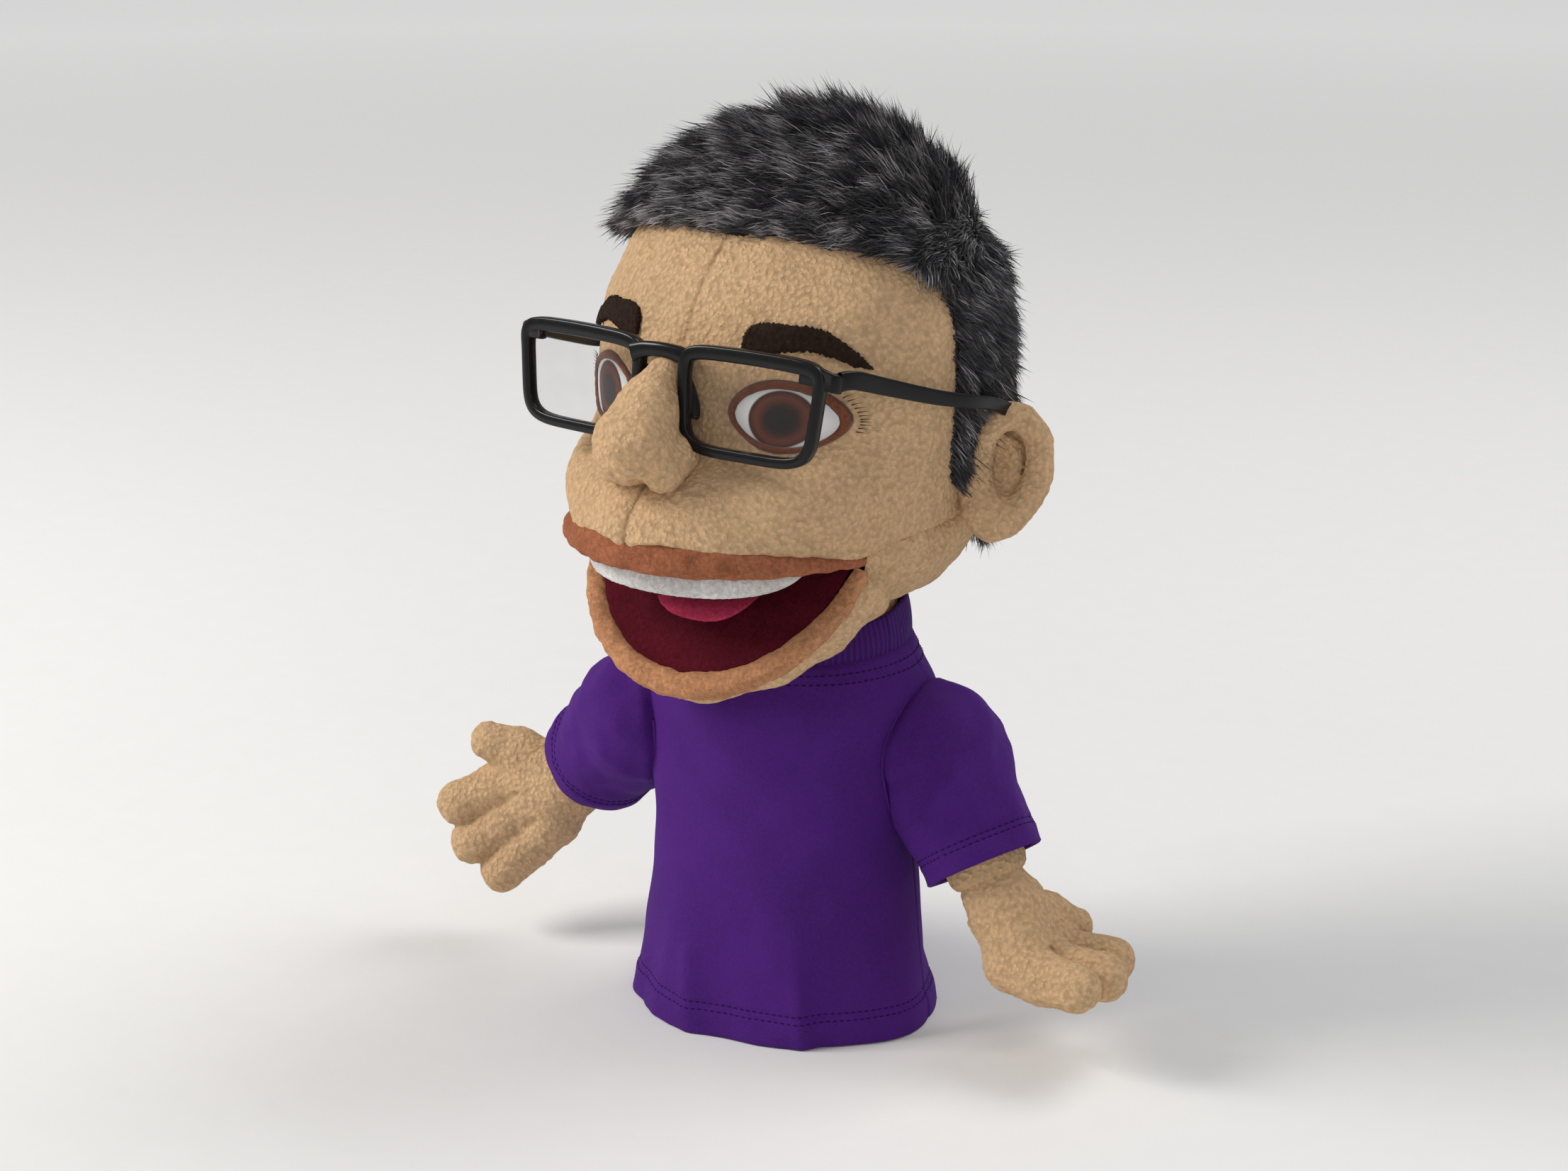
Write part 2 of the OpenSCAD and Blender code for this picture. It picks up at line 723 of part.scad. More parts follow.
module temple_screws() {
  for (s = [1, -1]) color("silver") translate([s * hinge_x, -hinge_y, hinge_z])
    cylinder(r = pin_r, h = 3 * knuckle_h + 0.5, center = true, $fn = 32);
}
// A temple arm: out along the side of the head, then over the ear
temple_reach_x = head_a + side_fur + 2;
ear_hook_y = 14;
temple_drop = 20;
module temple(side) {
  color(frame_col) mirror([side < 0 ? 1 : 0, 0, 0]) {
    difference() {
      union() {
        translate([hinge_x, -hinge_y, hinge_z]) cylinder(r = hinge_r, h = knuckle_h, center = true, $fn = 32);
        translate([hinge_x + 0.6, -hinge_y + hinge_r, hinge_z]) cube([temple_t, 1.6, knuckle_h], center = true);
        hull() {
          translate([hinge_x + 0.6, -hinge_y + hinge_r + 0.7, hinge_z]) cube([temple_t, 0.6, knuckle_h], center = true);
          translate([hinge_x + 1.4, -hinge_y + hinge_r + 3.2, hinge_z]) cube([temple_t, 1, temple_h], center = true);
        }
      }
      translate([hinge_x, -hinge_y, hinge_z]) cylinder(r = pin_r + 0.03, h = 10, center = true, $fn = 32);
    }
    hull() {
      translate([hinge_x + 1.4, -hinge_y + hinge_r + 3.2, hinge_z]) cube([temple_t, 1, temple_h], center = true);
      translate([temple_reach_x, hair_y - 3, hinge_z - temple_drop * 0.8]) cube([temple_t, 1, temple_h], center = true);
    }
    hull() {
      translate([temple_reach_x, hair_y - 3, hinge_z - temple_drop * 0.8]) cube([temple_t, 1, temple_h], center = true);
      translate([temple_reach_x, ear_hook_y, hinge_z - temple_drop]) cube([temple_t, 1, temple_h - 1], center = true);
    }
    hull() {
      translate([temple_reach_x, ear_hook_y, hinge_z - temple_drop]) cube([temple_t, 1, temple_h - 1], center = true);
      translate([temple_reach_x, ear_hook_y + 20, hinge_z - temple_drop - 9]) cube([temple_t, 1, temple_h - 1], center = true);
    }
  }
}
module temple_left() { temple(1); }
module temple_right() { temple(-1); }

// ---------- arms ----------
// Lean from the vertical and heading of each arm at rest, in degrees
lean_left = 34;
heading_left = -27;
lean_right = 50;
heading_right = 146;
function lean(side) = side > 0 ? lean_left : lean_right;
function heading(side) = side > 0 ? heading_left : heading_right;
// Children hang along -Z from the shoulder's centre
module arm_frame(side, swing = 0) {
  at_shoulder(side) rotate([0, 0, heading(side)]) rotate([0, -lean(side) - swing, 0]) children();
}
module sleeve_cone(g = 0) {
  translate([0, 0, -sleeve_l])
    cylinder(r1 = sleeve_hem_r + g, r2 = sleeve_r - 0.6 + g, h = sleeve_l - 6, $fn = 64);
}
arm_ball = sleeve_r - shirt_t - seat_gap;
module sleeve(side) {
  color(jersey_col) arm_frame(side) difference() {
    union() {
      sphere(r = sleeve_r, $fn = 64);
      sleeve_cone();
    }
    sphere(r = sleeve_r - shirt_t, $fn = 64);
    translate([0, 0, -sleeve_l - 1])
      cylinder(r1 = sleeve_hem_r - shirt_t, r2 = sleeve_r - 0.6 - shirt_t, h = sleeve_l - 5, $fn = 64);
  }
}
module sleeve_left() { sleeve(1); }
module sleeve_right() { sleeve(-1); }

// How far an arm ends short of the wrist's centre
wrist_back = 4;
module arm(side) {
  color(skin_col) arm_frame(side) difference() {
    union() {
      sphere(r = arm_ball, $fn = 64);
      translate([0, 0, -arm_l + wrist_back])
        cylinder(r1 = wrist_r - 0.2, r2 = arm_ball - 4, h = arm_l - wrist_back - 10, $fn = 64);
    }
    translate([0, 0, -arm_l]) sphere(r = wrist_r + run_gap, $fn = 64);
  }
}
module arm_left() { arm(1); }
module arm_right() { arm(-1); }

// A right mitt with a thumb and three fingers. Its heel is a ball at the wrist,
// the palm runs along -Z and faces -Y, the thumb is on the -X side, and the
// fingers curl towards the palm's side by an angle.
palm_l = 30;
finger_l = 24;
finger_pitch = 13;
module mitt(curl) {
  sphere(r = wrist_r, $fn = 48);
  hull() {
    translate([0, 0, -2]) sphere(r = wrist_r - 2, $fn = ball_n);
    translate([-8, 0, -palm_l + 8]) sphere(r = palm_t / 2, $fn = ball_n);
    translate([9, 0, -palm_l + 6]) sphere(r = palm_t / 2 - 1, $fn = ball_n);
  }
  translate([0, 0, -palm_l]) rotate([-curl, 0, 0]) for (i = [-1:1]) hull() {
    translate([i * finger_pitch, 0, 2]) sphere(r = finger_r, $fn = ball_n);
    translate([i * (finger_pitch + 4), 0, -finger_l + (i == 0 ? -4 : 0)])
      sphere(r = finger_r - 0.6, $fn = ball_n);
  }
  hull() {
    translate([-9, -1, -13]) sphere(r = finger_r - 0.5, $fn = ball_n);
    translate([-31, -4, -27]) sphere(r = finger_r - 1, $fn = ball_n);
  }
}
// Directions of the hands at rest, and the curl of their fingers, in degrees
hand_turn_left = [-34.4, 3.2, 99.2];
hand_turn_right = [-10, 53.3, 12.8];
curl_left = 50;
curl_right = 8;
module hand_left() {
  color(skin_col) at_wrist(1) rotate(hand_turn_left) mirror([1, 0, 0]) mitt(curl_left);
}
module hand_right() {
  color(skin_col) at_wrist(-1) rotate(hand_turn_right) mitt(curl_right);
}
// The wrists, with the puppet's own directions
function arm_dir(side) = [sin(lean(side)) * cos(heading(side) + body_turn),
  sin(lean(side)) * sin(heading(side) + body_turn), -cos(lean(side))];
function shoulder_at(side) = [side * shoulder_x * cos(body_turn) - shoulder_y * sin(body_turn),
  side * shoulder_x * sin(body_turn) + shoulder_y * cos(body_turn), shoulder_z];
module at_wrist(side) {
  translate(shoulder_at(side) + arm_l * arm_dir(side)) children();
}

body_tube();
hand_opening_binding();
shirt_front();
shirt_back();
collar_rib();
neck_tube();
head_foam();
face_panel_left();
face_panel_right();
nose();
ear_left();
ear_right();
eye_patch_left();
eye_patch_right();
eyelid_ring_left();
eyelid_ring_right();
eyebrow_left();
eyebrow_right();
wig_crown();
wig_back();
upper_mouth_board();
upper_mouth_lining();
mouth_hinge_tape();
upper_lip();
teeth_strip();
finger_pocket();
jaw_cover();
lower_mouth_board();
lower_mouth_lining();
lower_lip();
tongue();
thumb_pocket();
spectacle_front();
lens_left();
lens_right();
temple_screws();
temple_left();
temple_right();
sleeve_left();
sleeve_right();
arm_left();
arm_right();
hand_left();
hand_right();
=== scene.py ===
"""Looks of a moving mouth hand puppet: fleece skin, fur wig, felt mouth, knitted shirt and spectacles."""

import math

import bpy
import numpy as np
from bpy.props import FloatProperty, FloatVectorProperty, IntProperty, PointerProperty
from mathutils import Matrix, Vector


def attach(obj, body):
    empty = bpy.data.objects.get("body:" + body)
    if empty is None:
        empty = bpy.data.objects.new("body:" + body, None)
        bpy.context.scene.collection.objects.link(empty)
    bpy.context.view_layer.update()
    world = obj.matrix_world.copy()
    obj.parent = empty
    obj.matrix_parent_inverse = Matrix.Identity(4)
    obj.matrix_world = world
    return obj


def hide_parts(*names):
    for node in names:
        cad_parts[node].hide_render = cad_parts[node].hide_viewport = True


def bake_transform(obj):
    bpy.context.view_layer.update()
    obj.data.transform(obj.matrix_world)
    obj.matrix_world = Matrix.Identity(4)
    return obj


bl_info = {
    "name": "Mouth Puppet Looks",
    "version": (1, 0, 0),
    "blender": (4, 5, 0),
    "location": "View3D > Sidebar > Puppet",
    "description": "Builds the soft pieces, the spectacles and the finishes of a moving mouth hand puppet",
    "category": "Object",
}

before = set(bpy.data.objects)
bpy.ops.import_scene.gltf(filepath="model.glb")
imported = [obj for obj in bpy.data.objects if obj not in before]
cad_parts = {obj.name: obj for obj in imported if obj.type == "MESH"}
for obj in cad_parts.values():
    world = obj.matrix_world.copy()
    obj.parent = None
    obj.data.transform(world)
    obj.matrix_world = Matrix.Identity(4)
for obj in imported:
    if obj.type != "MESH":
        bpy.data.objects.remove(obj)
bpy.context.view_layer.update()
MM = 0.001
TAU = 2 * math.pi
# Camera: the point that it looks at, its direction and distance from there in metres, and its sensor and lens in mm
LOOK_AT, CAMERA_WAY, CAMERA_FAR = (0, 0, 0.167), (0.5755, -0.7637, 0.2924), 1.15
SENSOR, LENS = 36, 70.6

# Levels of the head: height, half width, front y, back y, y of the widest place, all in mm
HEAD = np.array([
    [170, 40, -29, 51, 11], [174, 50, -34, 60, 9], [180, 59, -52, 71, 8], [188, 64, -80, 79, 7],
    [198, 67, -91, 83, 6], [210, 69, -92, 85, 5], [221, 70.5, -85, 86, 5], [231, 71.5, -71, 86, 5],
    [239, 72.5, -63.5, 86, 5], [252, 73, -62, 86, 5], [266, 73, -59.5, 85, 5], [280, 71, -54, 82, 6],
    [294, 66, -44, 76, 8], [307, 58, -31, 67, 12], [319, 47, -15, 55, 16], [329, 31, 4, 43, 20],
    [335, 13, 20, 33, 26]], float)
# Levels of the shirt: height, half width, half depth, y of the middle, in the body's own turned directions
BODY = np.array([
    [0, 60, 46, 0], [25, 56, 42.4, 0], [59, 52, 38.8, 1], [84, 51, 38, 2], [110, 56, 38, 4],
    [128, 56, 45, 9], [138, 50, 44, 10], [146, 45, 44, 11.5], [148, 40, 40, 12]], float)
FOLD = np.array([0, -30.0, 192.0])
NECK = np.array([-3.31, 11.54, 0])
BODY_TURN = 16.0
SHOULDER = {1: np.array([56.57, 20.38, 108.0]), -1: np.array([-58.78, -12.69, 108.0])}
WRIST = {1: np.array([87.31, 14.41, 61.57]), -1: np.array([-99.58, 0.56, 72.0])}
SIDE = {1: "left", -1: "right"}


# ---------- sums on arrays ----------
def unit(v):
    """Vectors over their lengths."""
    return v / np.maximum(np.linalg.norm(v, axis=-1, keepdims=True), 1e-9)


def turn(axis, degrees):
    """Matrix of a turn about the x, y or z axis."""
    return np.array(Matrix.Rotation(math.radians(degrees), 3, axis), float)


def ease(low, high, x):
    """Smooth step: 0 below low, 1 above high, and three t squared less two t cubed between them."""
    t = np.clip((np.asarray(x, float) - low) / (high - low), 0, 1)
    return t * t * (3 - 2 * t)


def table(x, *pairs):
    """Straight lines through (place, value) pairs, and level beyond the first and the last."""
    out = np.full(np.shape(x), float(pairs[0][1]))
    for (a, va), (b, vb) in zip(pairs, pairs[1:]):
        out = out + (vb - va) * np.clip((x - a) / (b - a), 0, 1)
    return out


def rows_at(levels, k):
    """Cubic curve through the rows of a table at places k, with each row's slope taken from its two neighbours."""
    n = len(levels)
    k = np.clip(k, 0, n - 1)
    i = np.minimum(k.astype(int), n - 2)
    t = (k - i)[..., None]
    a, b = levels[np.maximum(i - 1, 0)], levels[i]
    c, d = levels[i + 1], levels[np.minimum(i + 2, n - 1)]
    return 0.5 * (2 * b + (c - a) * t + (2 * a - 5 * b + 4 * c - d) * t**2 + (3 * b - a - 3 * c + d) * t**3)


def row_of(levels, z):
    """Place along a table's rows whose first number is z."""
    return np.interp(z, levels[:, 0], np.arange(len(levels)))


def ripple(p, size, seed, count=12):
    """Uneven surface: the sum of cosines that run in random directions, with wavelengths near size."""
    rng = np.random.default_rng(seed)
    way = unit(rng.normal(size=(count, 3)))
    rate = TAU / size * (0.7 + 0.6 * rng.random(count))
    start = rng.random(count) * TAU
    return np.cos((p @ way.T) * rate + start).sum(-1) / math.sqrt(count) / 1.2


def groove(p, a, b, width):
    """1 on the line from a to b, falling off as a bell curve of the distance over width."""
    a, b = np.asarray(a, float), np.asarray(b, float)
    t = np.clip(((p - a) @ (b - a)) / ((b - a) @ (b - a)), 0, 1)
    return np.exp(-(np.linalg.norm(p - a - t[..., None] * (b - a), axis=-1) / width) ** 2)


def head_point(k, front):
    """Point of the head at table row k and angle front, 0 at the face and 90 at the left side.
    x is the half width times the sine; y is the front or back half ellipse's depth times the cosine."""
    k, front = np.broadcast_arrays(k, front)
    s = rows_at(HEAD, k)
    c, v = np.sin(front), np.cos(front)
    depth = np.where(v > 0, s[..., 4] - s[..., 2], s[..., 3] - s[..., 4])
    return np.stack([s[..., 1] * c, s[..., 4] - depth * v, s[..., 0]], -1)


def face_point(x, z):
    """Point of the face's front at sideways place x and height z: the front half ellipse of that height."""
    s = rows_at(HEAD, row_of(HEAD, z))
    x = np.clip(x, -0.995 * s[..., 1], 0.995 * s[..., 1])
    y = s[..., 4] - (s[..., 4] - s[..., 2]) * np.sqrt(1 - (x / s[..., 1]) ** 2)
    return np.stack([x, y, z + 0 * x], -1)


def face_normal(x, z):
    """Outward direction of the face, from the cross of its two slopes."""
    e = 0.4
    dx = face_point(x + e, z) - face_point(x - e, z)
    dz = face_point(x, z + e) - face_point(x, z - e)
    return unit(np.cross(dx, dz))


def body_point(z, angle):
    """Point of the shirt: an ellipse of the table's half width and half depth, turned with the body."""
    z, angle = np.broadcast_arrays(z, angle)
    s = rows_at(BODY, row_of(BODY, z))
    p = np.stack([s[..., 1] * np.cos(angle), s[..., 3] + s[..., 2] * np.sin(angle), z + 0 * angle], -1)
    return p @ turn("Z", BODY_TURN).T


def body_depth(p):
    """How far outside the shirt's ellipse a point is: the root of its squared shares of width and depth, less 1."""
    q = p @ turn("Z", BODY_TURN)
    s = rows_at(BODY, row_of(BODY, q[..., 2]))
    return np.sqrt((q[..., 0] / s[..., 1]) ** 2 + ((q[..., 1] - s[..., 3]) / s[..., 2]) ** 2) - 1


def upper(p):
    """From the upper mouth board's own directions to the puppet's."""
    return np.asarray(p, float) @ turn("X", -6).T + FOLD


def lower(p):
    """From the lower mouth board's own directions to the puppet's."""
    return np.asarray(p, float) @ turn("X", 50).T + FOLD


# ---------- meshes ----------
def quads(rows, columns, round_rows=False, round_columns=False):
    """Faces of a grid of points, with the last row or column joined to the first where it runs round."""
    i = np.arange(rows if round_rows else rows - 1)
    j = np.arange(columns if round_columns else columns - 1)
    i, j = np.meshgrid(i, j, indexing="ij")
    i2, j2 = (i + 1) % rows, (j + 1) % columns
    return np.stack([i * columns + j, i2 * columns + j, i2 * columns + j2, i * columns + j2], -1).reshape(-1,
        4)


def grid_normals(p, round_columns=False):
    """Normals of a grid from the cross of its two central differences."""
    du = np.gradient(p, axis=0)
    dv = (np.roll(p, -1, 1) - np.roll(p, 1, 1)) / 2 if round_columns else np.gradient(p, axis=1)
    return unit(np.cross(du, dv))


def fan(row, columns, tip):
    """Faces from each edge of a grid's row to one more point."""
    j = np.arange(columns)
    return np.stack([row * columns + j, row * columns + (j + 1) % columns, np.full(columns, tip)], -1)


def capped(p):
    """Faces of a tube grid whose two ends are closed by fans to a middle point, with those two points added."""
    m, n = p.shape[:2]
    points = np.concatenate([p.reshape(-1, 3), p[0].mean(0)[None], p[-1].mean(0)[None]])
    j = np.arange(n)
    j2 = (j + 1) % n
    low = np.stack([j2, j, np.full(n, m * n)], -1)
    high = np.stack([j + (m - 1) * n, j2 + (m - 1) * n, np.full(n, m * n + 1)], -1)
    return points, [quads(m, n, round_columns=True)[:, ::-1], low[:, ::-1], high[:, ::-1]]


def joined(parts):
    """Several (points, face arrays) as one."""
    points, faces, start = [], [], 0
    for p, fs in parts:
        points.append(p.reshape(-1, 3))
        faces += [f + start for f in fs]
        start += points[-1].shape[0]
    return np.concatenate(points), faces


def make_piece(name, points, faces, finish, body=None, inside=None, marks=None):
    """A mesh from points in mm and arrays of faces. A closed one is turned outwards by the sign of its volume,
    and an open one by its faces' directions from the point inside."""
    faces = [faces] if isinstance(faces, np.ndarray) else faces
    points = points.reshape(-1, 3)
    total = 0.0
    for f in faces:
        a, b, c = points[f[:, 0]], points[f[:, 1]], points[f[:, 2]]
        if inside is None:
            for k in range(1, f.shape[1] - 1):
                total += np.einsum("ij,ij->i", a, np.cross(points[f[:, k]], points[f[:, k + 1]])).sum()
        else:
            total += np.einsum("ij,ij->i", np.cross(b - a, c - a), a - np.asarray(inside)).sum()
    if total < 0:
        faces = [f[:, ::-1] for f in faces]
    mesh = bpy.data.meshes.new(name)
    mesh.vertices.add(len(points))
    mesh.vertices.foreach_set("co", (points * MM).astype(np.float32).ravel())
    loops = np.concatenate([f.ravel() for f in faces]).astype(np.int32)
    sizes = np.concatenate([np.full(len(f), f.shape[1]) for f in faces])
    mesh.loops.add(len(loops))
    mesh.loops.foreach_set("vertex_index", loops)
    mesh.polygons.add(len(sizes))
    mesh.polygons.foreach_set("loop_start", (np.cumsum(sizes) - sizes).astype(np.int32))
    mesh.update(calc_edges=True)
    mesh.validate()
    mesh.shade_smooth()
    for key, values in (marks or {}).items():
        layer = mesh.attributes.new(key, "FLOAT", "POINT")
        layer.data.foreach_set("value", np.asarray(values, np.float32).ravel())
    piece = bpy.data.objects.new(name, mesh)
    bpy.context.scene.collection.objects.link(piece)
    mesh.materials.append(finish)
    if body:
        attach(piece, body)
    return piece


def sweep(path, across, profile):
    """A profile carried along a path. Each ring is the path's point plus the profile's first number along across
    and its second along the cross of the path's direction and across."""
    along = unit(np.gradient(path, axis=0))
    across = unit(across - (across * along).sum(-1, keepdims=True) * along)
    up = np.cross(along, across)
    profile = np.broadcast_to(profile, (len(path),) + np.shape(profile)[-2:])
    return path[:, None] + profile[..., :1] * across[:, None] + profile[..., 1:] * up[:, None]


def oval(half_width, half_height, n=20, power=1.0):
    """Profile of an ellipse whose sine and cosine are raised to a power, below 1 for a boxier one."""
    a = np.arange(n) * TAU / n
    c, s = np.cos(a), np.sin(a)
    return np.stack([half_width * np.sign(c) * abs(c) ** power, half_height * np.sign(s) * abs(s) ** power],
        -1)


def smooth_path(points, n):
    """A path of n points through a few, with rows_at's cubic curve."""
    points = np.asarray(points, float)
    return rows_at(points, np.linspace(0, len(points) - 1, n))


def stitches(path, up, pitch=2.6, length=1.7, radius=0.28, sink=0.05):
    """Thread marks along a path: short spindles of four rings of five points, a pitch apart, on the up side."""
    steps = np.linalg.norm(np.diff(path, axis=0), axis=1)
    run = np.concatenate([[0], np.cumsum(steps)])
    at = np.arange(pitch / 2, run[-1], pitch)
    place = np.stack([np.interp(at, run, path[:, i]) for i in range(3)], -1)
    lift = unit(np.stack([np.interp(at, run, up[:, i]) for i in range(3)], -1))
    along = unit(np.gradient(place, axis=0))
    side = unit(np.cross(along, lift))
    place = place + lift * (radius * 0.4 - sink)
    a = np.arange(5) * TAU / 5
    ring = np.cos(a)[:, None] * side[:, None] + np.sin(a)[:, None] * lift[:, None]
    p = np.stack([place[:, None] + along[:, None] * (length / 2 * t) + ring * radius * w
                  for t, w in ((-1, 0.25), (-0.5, 0.9), (0.5, 0.9), (1, 0.25))], 1)
    count = len(at)
    one = quads(4, 5, round_columns=True)
    faces = (one[None] + np.arange(count)[:, None, None] * 20).reshape(-1, 4)
    ends = np.array([[0, 1, 2, 3, 4], [19, 18, 17, 16, 15]])
    return p.reshape(-1, 3), [faces, (ends[None] + np.arange(count)[:, None, None] * 20).reshape(-1, 5)[:,
        ::-1]]


def cone_gap(p, a, b, ra, rb):
    """Distance to a ball that runs from a to b while its radius goes from ra to rb."""
    a, b = np.asarray(a, float), np.asarray(b, float)
    t = np.clip(((p - a) @ (b - a)) / max((b - a) @ (b - a), 1e-6), 0, 1)
    return np.linalg.norm(p - a - t[:, None] * (b - a), axis=1) - (ra + (rb - ra) * t)


def soft_union(d, e, k):
    """Two distances as one, rounded over a width k where they are alike."""
    h = np.clip(0.5 + 0.5 * (e - d) / k, 0, 1)
    return e * (1 - h) + d * h - k * h * (1 - h)


def chain_gap(p, chain, k):
    """Distances to several cones joined softly."""
    d = cone_gap(p, *chain[0])
    for c in chain[1:]:
        d = soft_union(d, cone_gap(p, *c), k)
    return d


def skin_of(field, low, high, step):
    """Closed surface where field is 0: one point in each cell that the surface crosses, at the mean of its
    crossings on the cell's edges, one face across each crossed edge, then three steps down the field's slope."""
    axes = [np.arange(a, b + step, step) for a, b in zip(low, high)]
    shape = tuple(len(a) for a in axes)
    nodes = np.stack(np.meshgrid(*axes, indexing="ij"), -1)
    f = field(nodes.reshape(-1, 3)).reshape(shape)
    cells = tuple(s - 1 for s in shape)
    total, count = np.zeros(cells + (3,)), np.zeros(cells)
    corner = np.stack(np.meshgrid(*[np.arange(c) for c in cells], indexing="ij"), -1).astype(float)
    for axis in range(3):
        others = [i for i in range(3) if i != axis]
        for da in (0, 1):
            for db in (0, 1):
                off = [0, 0, 0]
                off[others[0]], off[others[1]] = da, db
                end = list(off)
                end[axis] = 1
                a = f[tuple(slice(o, o + c) for o, c in zip(off, cells))]
                b = f[tuple(slice(o, o + c) for o, c in zip(end, cells))]
                hit = (a < 0) != (b < 0)
                t = np.where(hit, a / np.where(a == b, 1, a - b), 0)
                place = corner + np.array(off)
                place[..., axis] += t
                total += place * hit[..., None]
                count += hit
    live = count > 0
    number = np.full(cells, -1)
    number[live] = np.arange(live.sum())
    points = total[live] / count[live][:, None] * step + np.array(low)
    faces = []
    for axis in range(3):
        b, c = [i for i in range(3) if i != axis]
        first = [slice(1, -1)] * 3
        first[axis] = slice(0, -1)
        second = list(first)
        second[axis] = slice(1, None)
        s0, s1 = f[tuple(first)] < 0, f[tuple(second)] < 0
        where = np.argwhere(s0 != s1)
        start = where + 1
        start[:, axis] -= 1
        corners = []
        for db, dc in ((0, 0), (1, 0), (1, 1), (0, 1)):
            q = start.copy()
            q[:, b] -= db
            q[:, c] -= dc
            corners.append(number[q[:, 0], q[:, 1], q[:, 2]])
        face = np.stack(corners, -1)
        flip = s0[tuple(where.T)] != (axis == 1)
        face[flip] = face[flip][:, ::-1]
        faces.append(face)
    for _ in range(3):
        points = points - field_slope(field, points) * field(points)[:, None]
    return points, [np.concatenate(faces)]


def field_slope(field, p, e=0.05):
    """Direction in which a field grows fastest, from its central differences."""
    d = np.eye(3) * e
    return unit(np.stack([field(p + d[i]) - field(p - d[i]) for i in range(3)], -1))


# ---------- finishes ----------
class Wire:
    """One output of a finish's nodes. Sums on it add Math nodes."""

    def __init__(self, finish, out):
        self.finish, self.out = finish, out

    def math(self, operation, a, b=0.0):
        return self.finish.add("ShaderNodeMath", {"operation": operation}, {0: a, 1: b})

    def __add__(self, other):
        return self.math("ADD", self, other)

    def __sub__(self, other):
        return self.math("SUBTRACT", self, other)

    def __rsub__(self, other):
        return self.math("SUBTRACT", other, self)

    def __mul__(self, other):
        return self.math("MULTIPLY", self, other)

    __radd__, __rmul__ = __add__, __mul__


class Finish:
    """A material's nodes, added from expressions."""

    def __init__(self, name):
        self.material = bpy.data.materials.new(name)
        self.material.use_nodes = True
        self.nodes, self.links = self.material.node_tree.nodes, self.material.node_tree.links
        self.shader = self.nodes["Principled BSDF"]
        self.place = self.add("ShaderNodeTexCoord", output="Object")

    def add(self, kind, settings=None, sockets=None, output=0):
        node = self.nodes.new(kind)
        for key, value in (settings or {}).items():
            if key == "stops":
                ramp = node.color_ramp
                while len(ramp.elements) < len(value):
                    ramp.elements.new(0.5)
                for element, (at, tone) in zip(ramp.elements, value):
                    element.position, element.color = at, tuple(tone) + (1,)
            else:
                setattr(node, key, value)
        for key, value in (sockets or {}).items():
            self.feed(node.inputs[key], value)
        return Wire(self, node.outputs[output])

    def feed(self, socket, value):
        if isinstance(value, Wire):
            self.links.new(value.out, socket)
        elif hasattr(value, "__len__") and len(value) == 3 and len(socket.default_value) == 4:
            socket.default_value = tuple(value) + (1,)
        else:
            socket.default_value = value

    def noise(self, scale, detail=3, rough=0.55, at=None, output=0):
        return self.add("ShaderNodeTexNoise", None, {
            "Vector": at or self.place, "Scale": scale, "Detail": detail, "Roughness": rough}, output)

    def cells(self, scale, at=None, soft=True):
        kind = "SMOOTH_F1" if soft else "F1"
        return self.add("ShaderNodeTexVoronoi", {"feature": kind},
            {"Vector": at or self.place, "Scale": scale})

    def shift(self, by, amount, at=None):
        """A place moved by a colour's three numbers less a half, times an amount."""
        half = self.add("ShaderNodeVectorMath", {"operation": "SUBTRACT"}, {0: by, 1: (0.5, 0.5, 0.5)})
        move = self.add("ShaderNodeVectorMath", {"operation": "SCALE"}, {0: half, "Scale": amount})
        return self.add("ShaderNodeVectorMath", {"operation": "ADD"}, {0: at or self.place, 1: move})

    def stretch(self, scale, at=None):
        return self.add("ShaderNodeMapping", None, {"Vector": at or self.place, "Scale": scale})

    def mark(self, name):
        return self.add("ShaderNodeAttribute", {"attribute_name": name}, None, "Fac")

    def ramp(self, value, *stops):
        return self.add("ShaderNodeValToRGB", {"stops": stops}, {0: value})

    def between(self, value, low, high, to_low=0.0, to_high=1.0):
        return self.add("ShaderNodeMapRange", None, {
            "Value": value, "From Min": low, "From Max": high, "To Min": to_low, "To Max": to_high})

    def mix(self, share, a, b, way="MIX"):
        node = self.nodes.new("ShaderNodeMix")
        node.data_type, node.blend_type = "RGBA", way
        self.feed(node.inputs[0], share)
        self.feed(node.inputs[6], a)
        self.feed(node.inputs[7], b)
        return Wire(self, node.outputs[2])

    def set(self, **values):
        for key, value in values.items():
            self.feed(self.shader.inputs[key.replace("_", " ")], value)
        return self

    def bump(self, height, distance, strength=1.0, over=None):
        sockets = {"Height": height, "Distance": distance, "Strength": strength}
        if over:
            sockets["Normal"] = over
        return self.add("ShaderNodeBump", None, sockets)


def tone(colour, factor):
    """A colour times a number."""
    return tuple(min(1.0, c * factor) for c in colour[:3])


FINISHES = {}


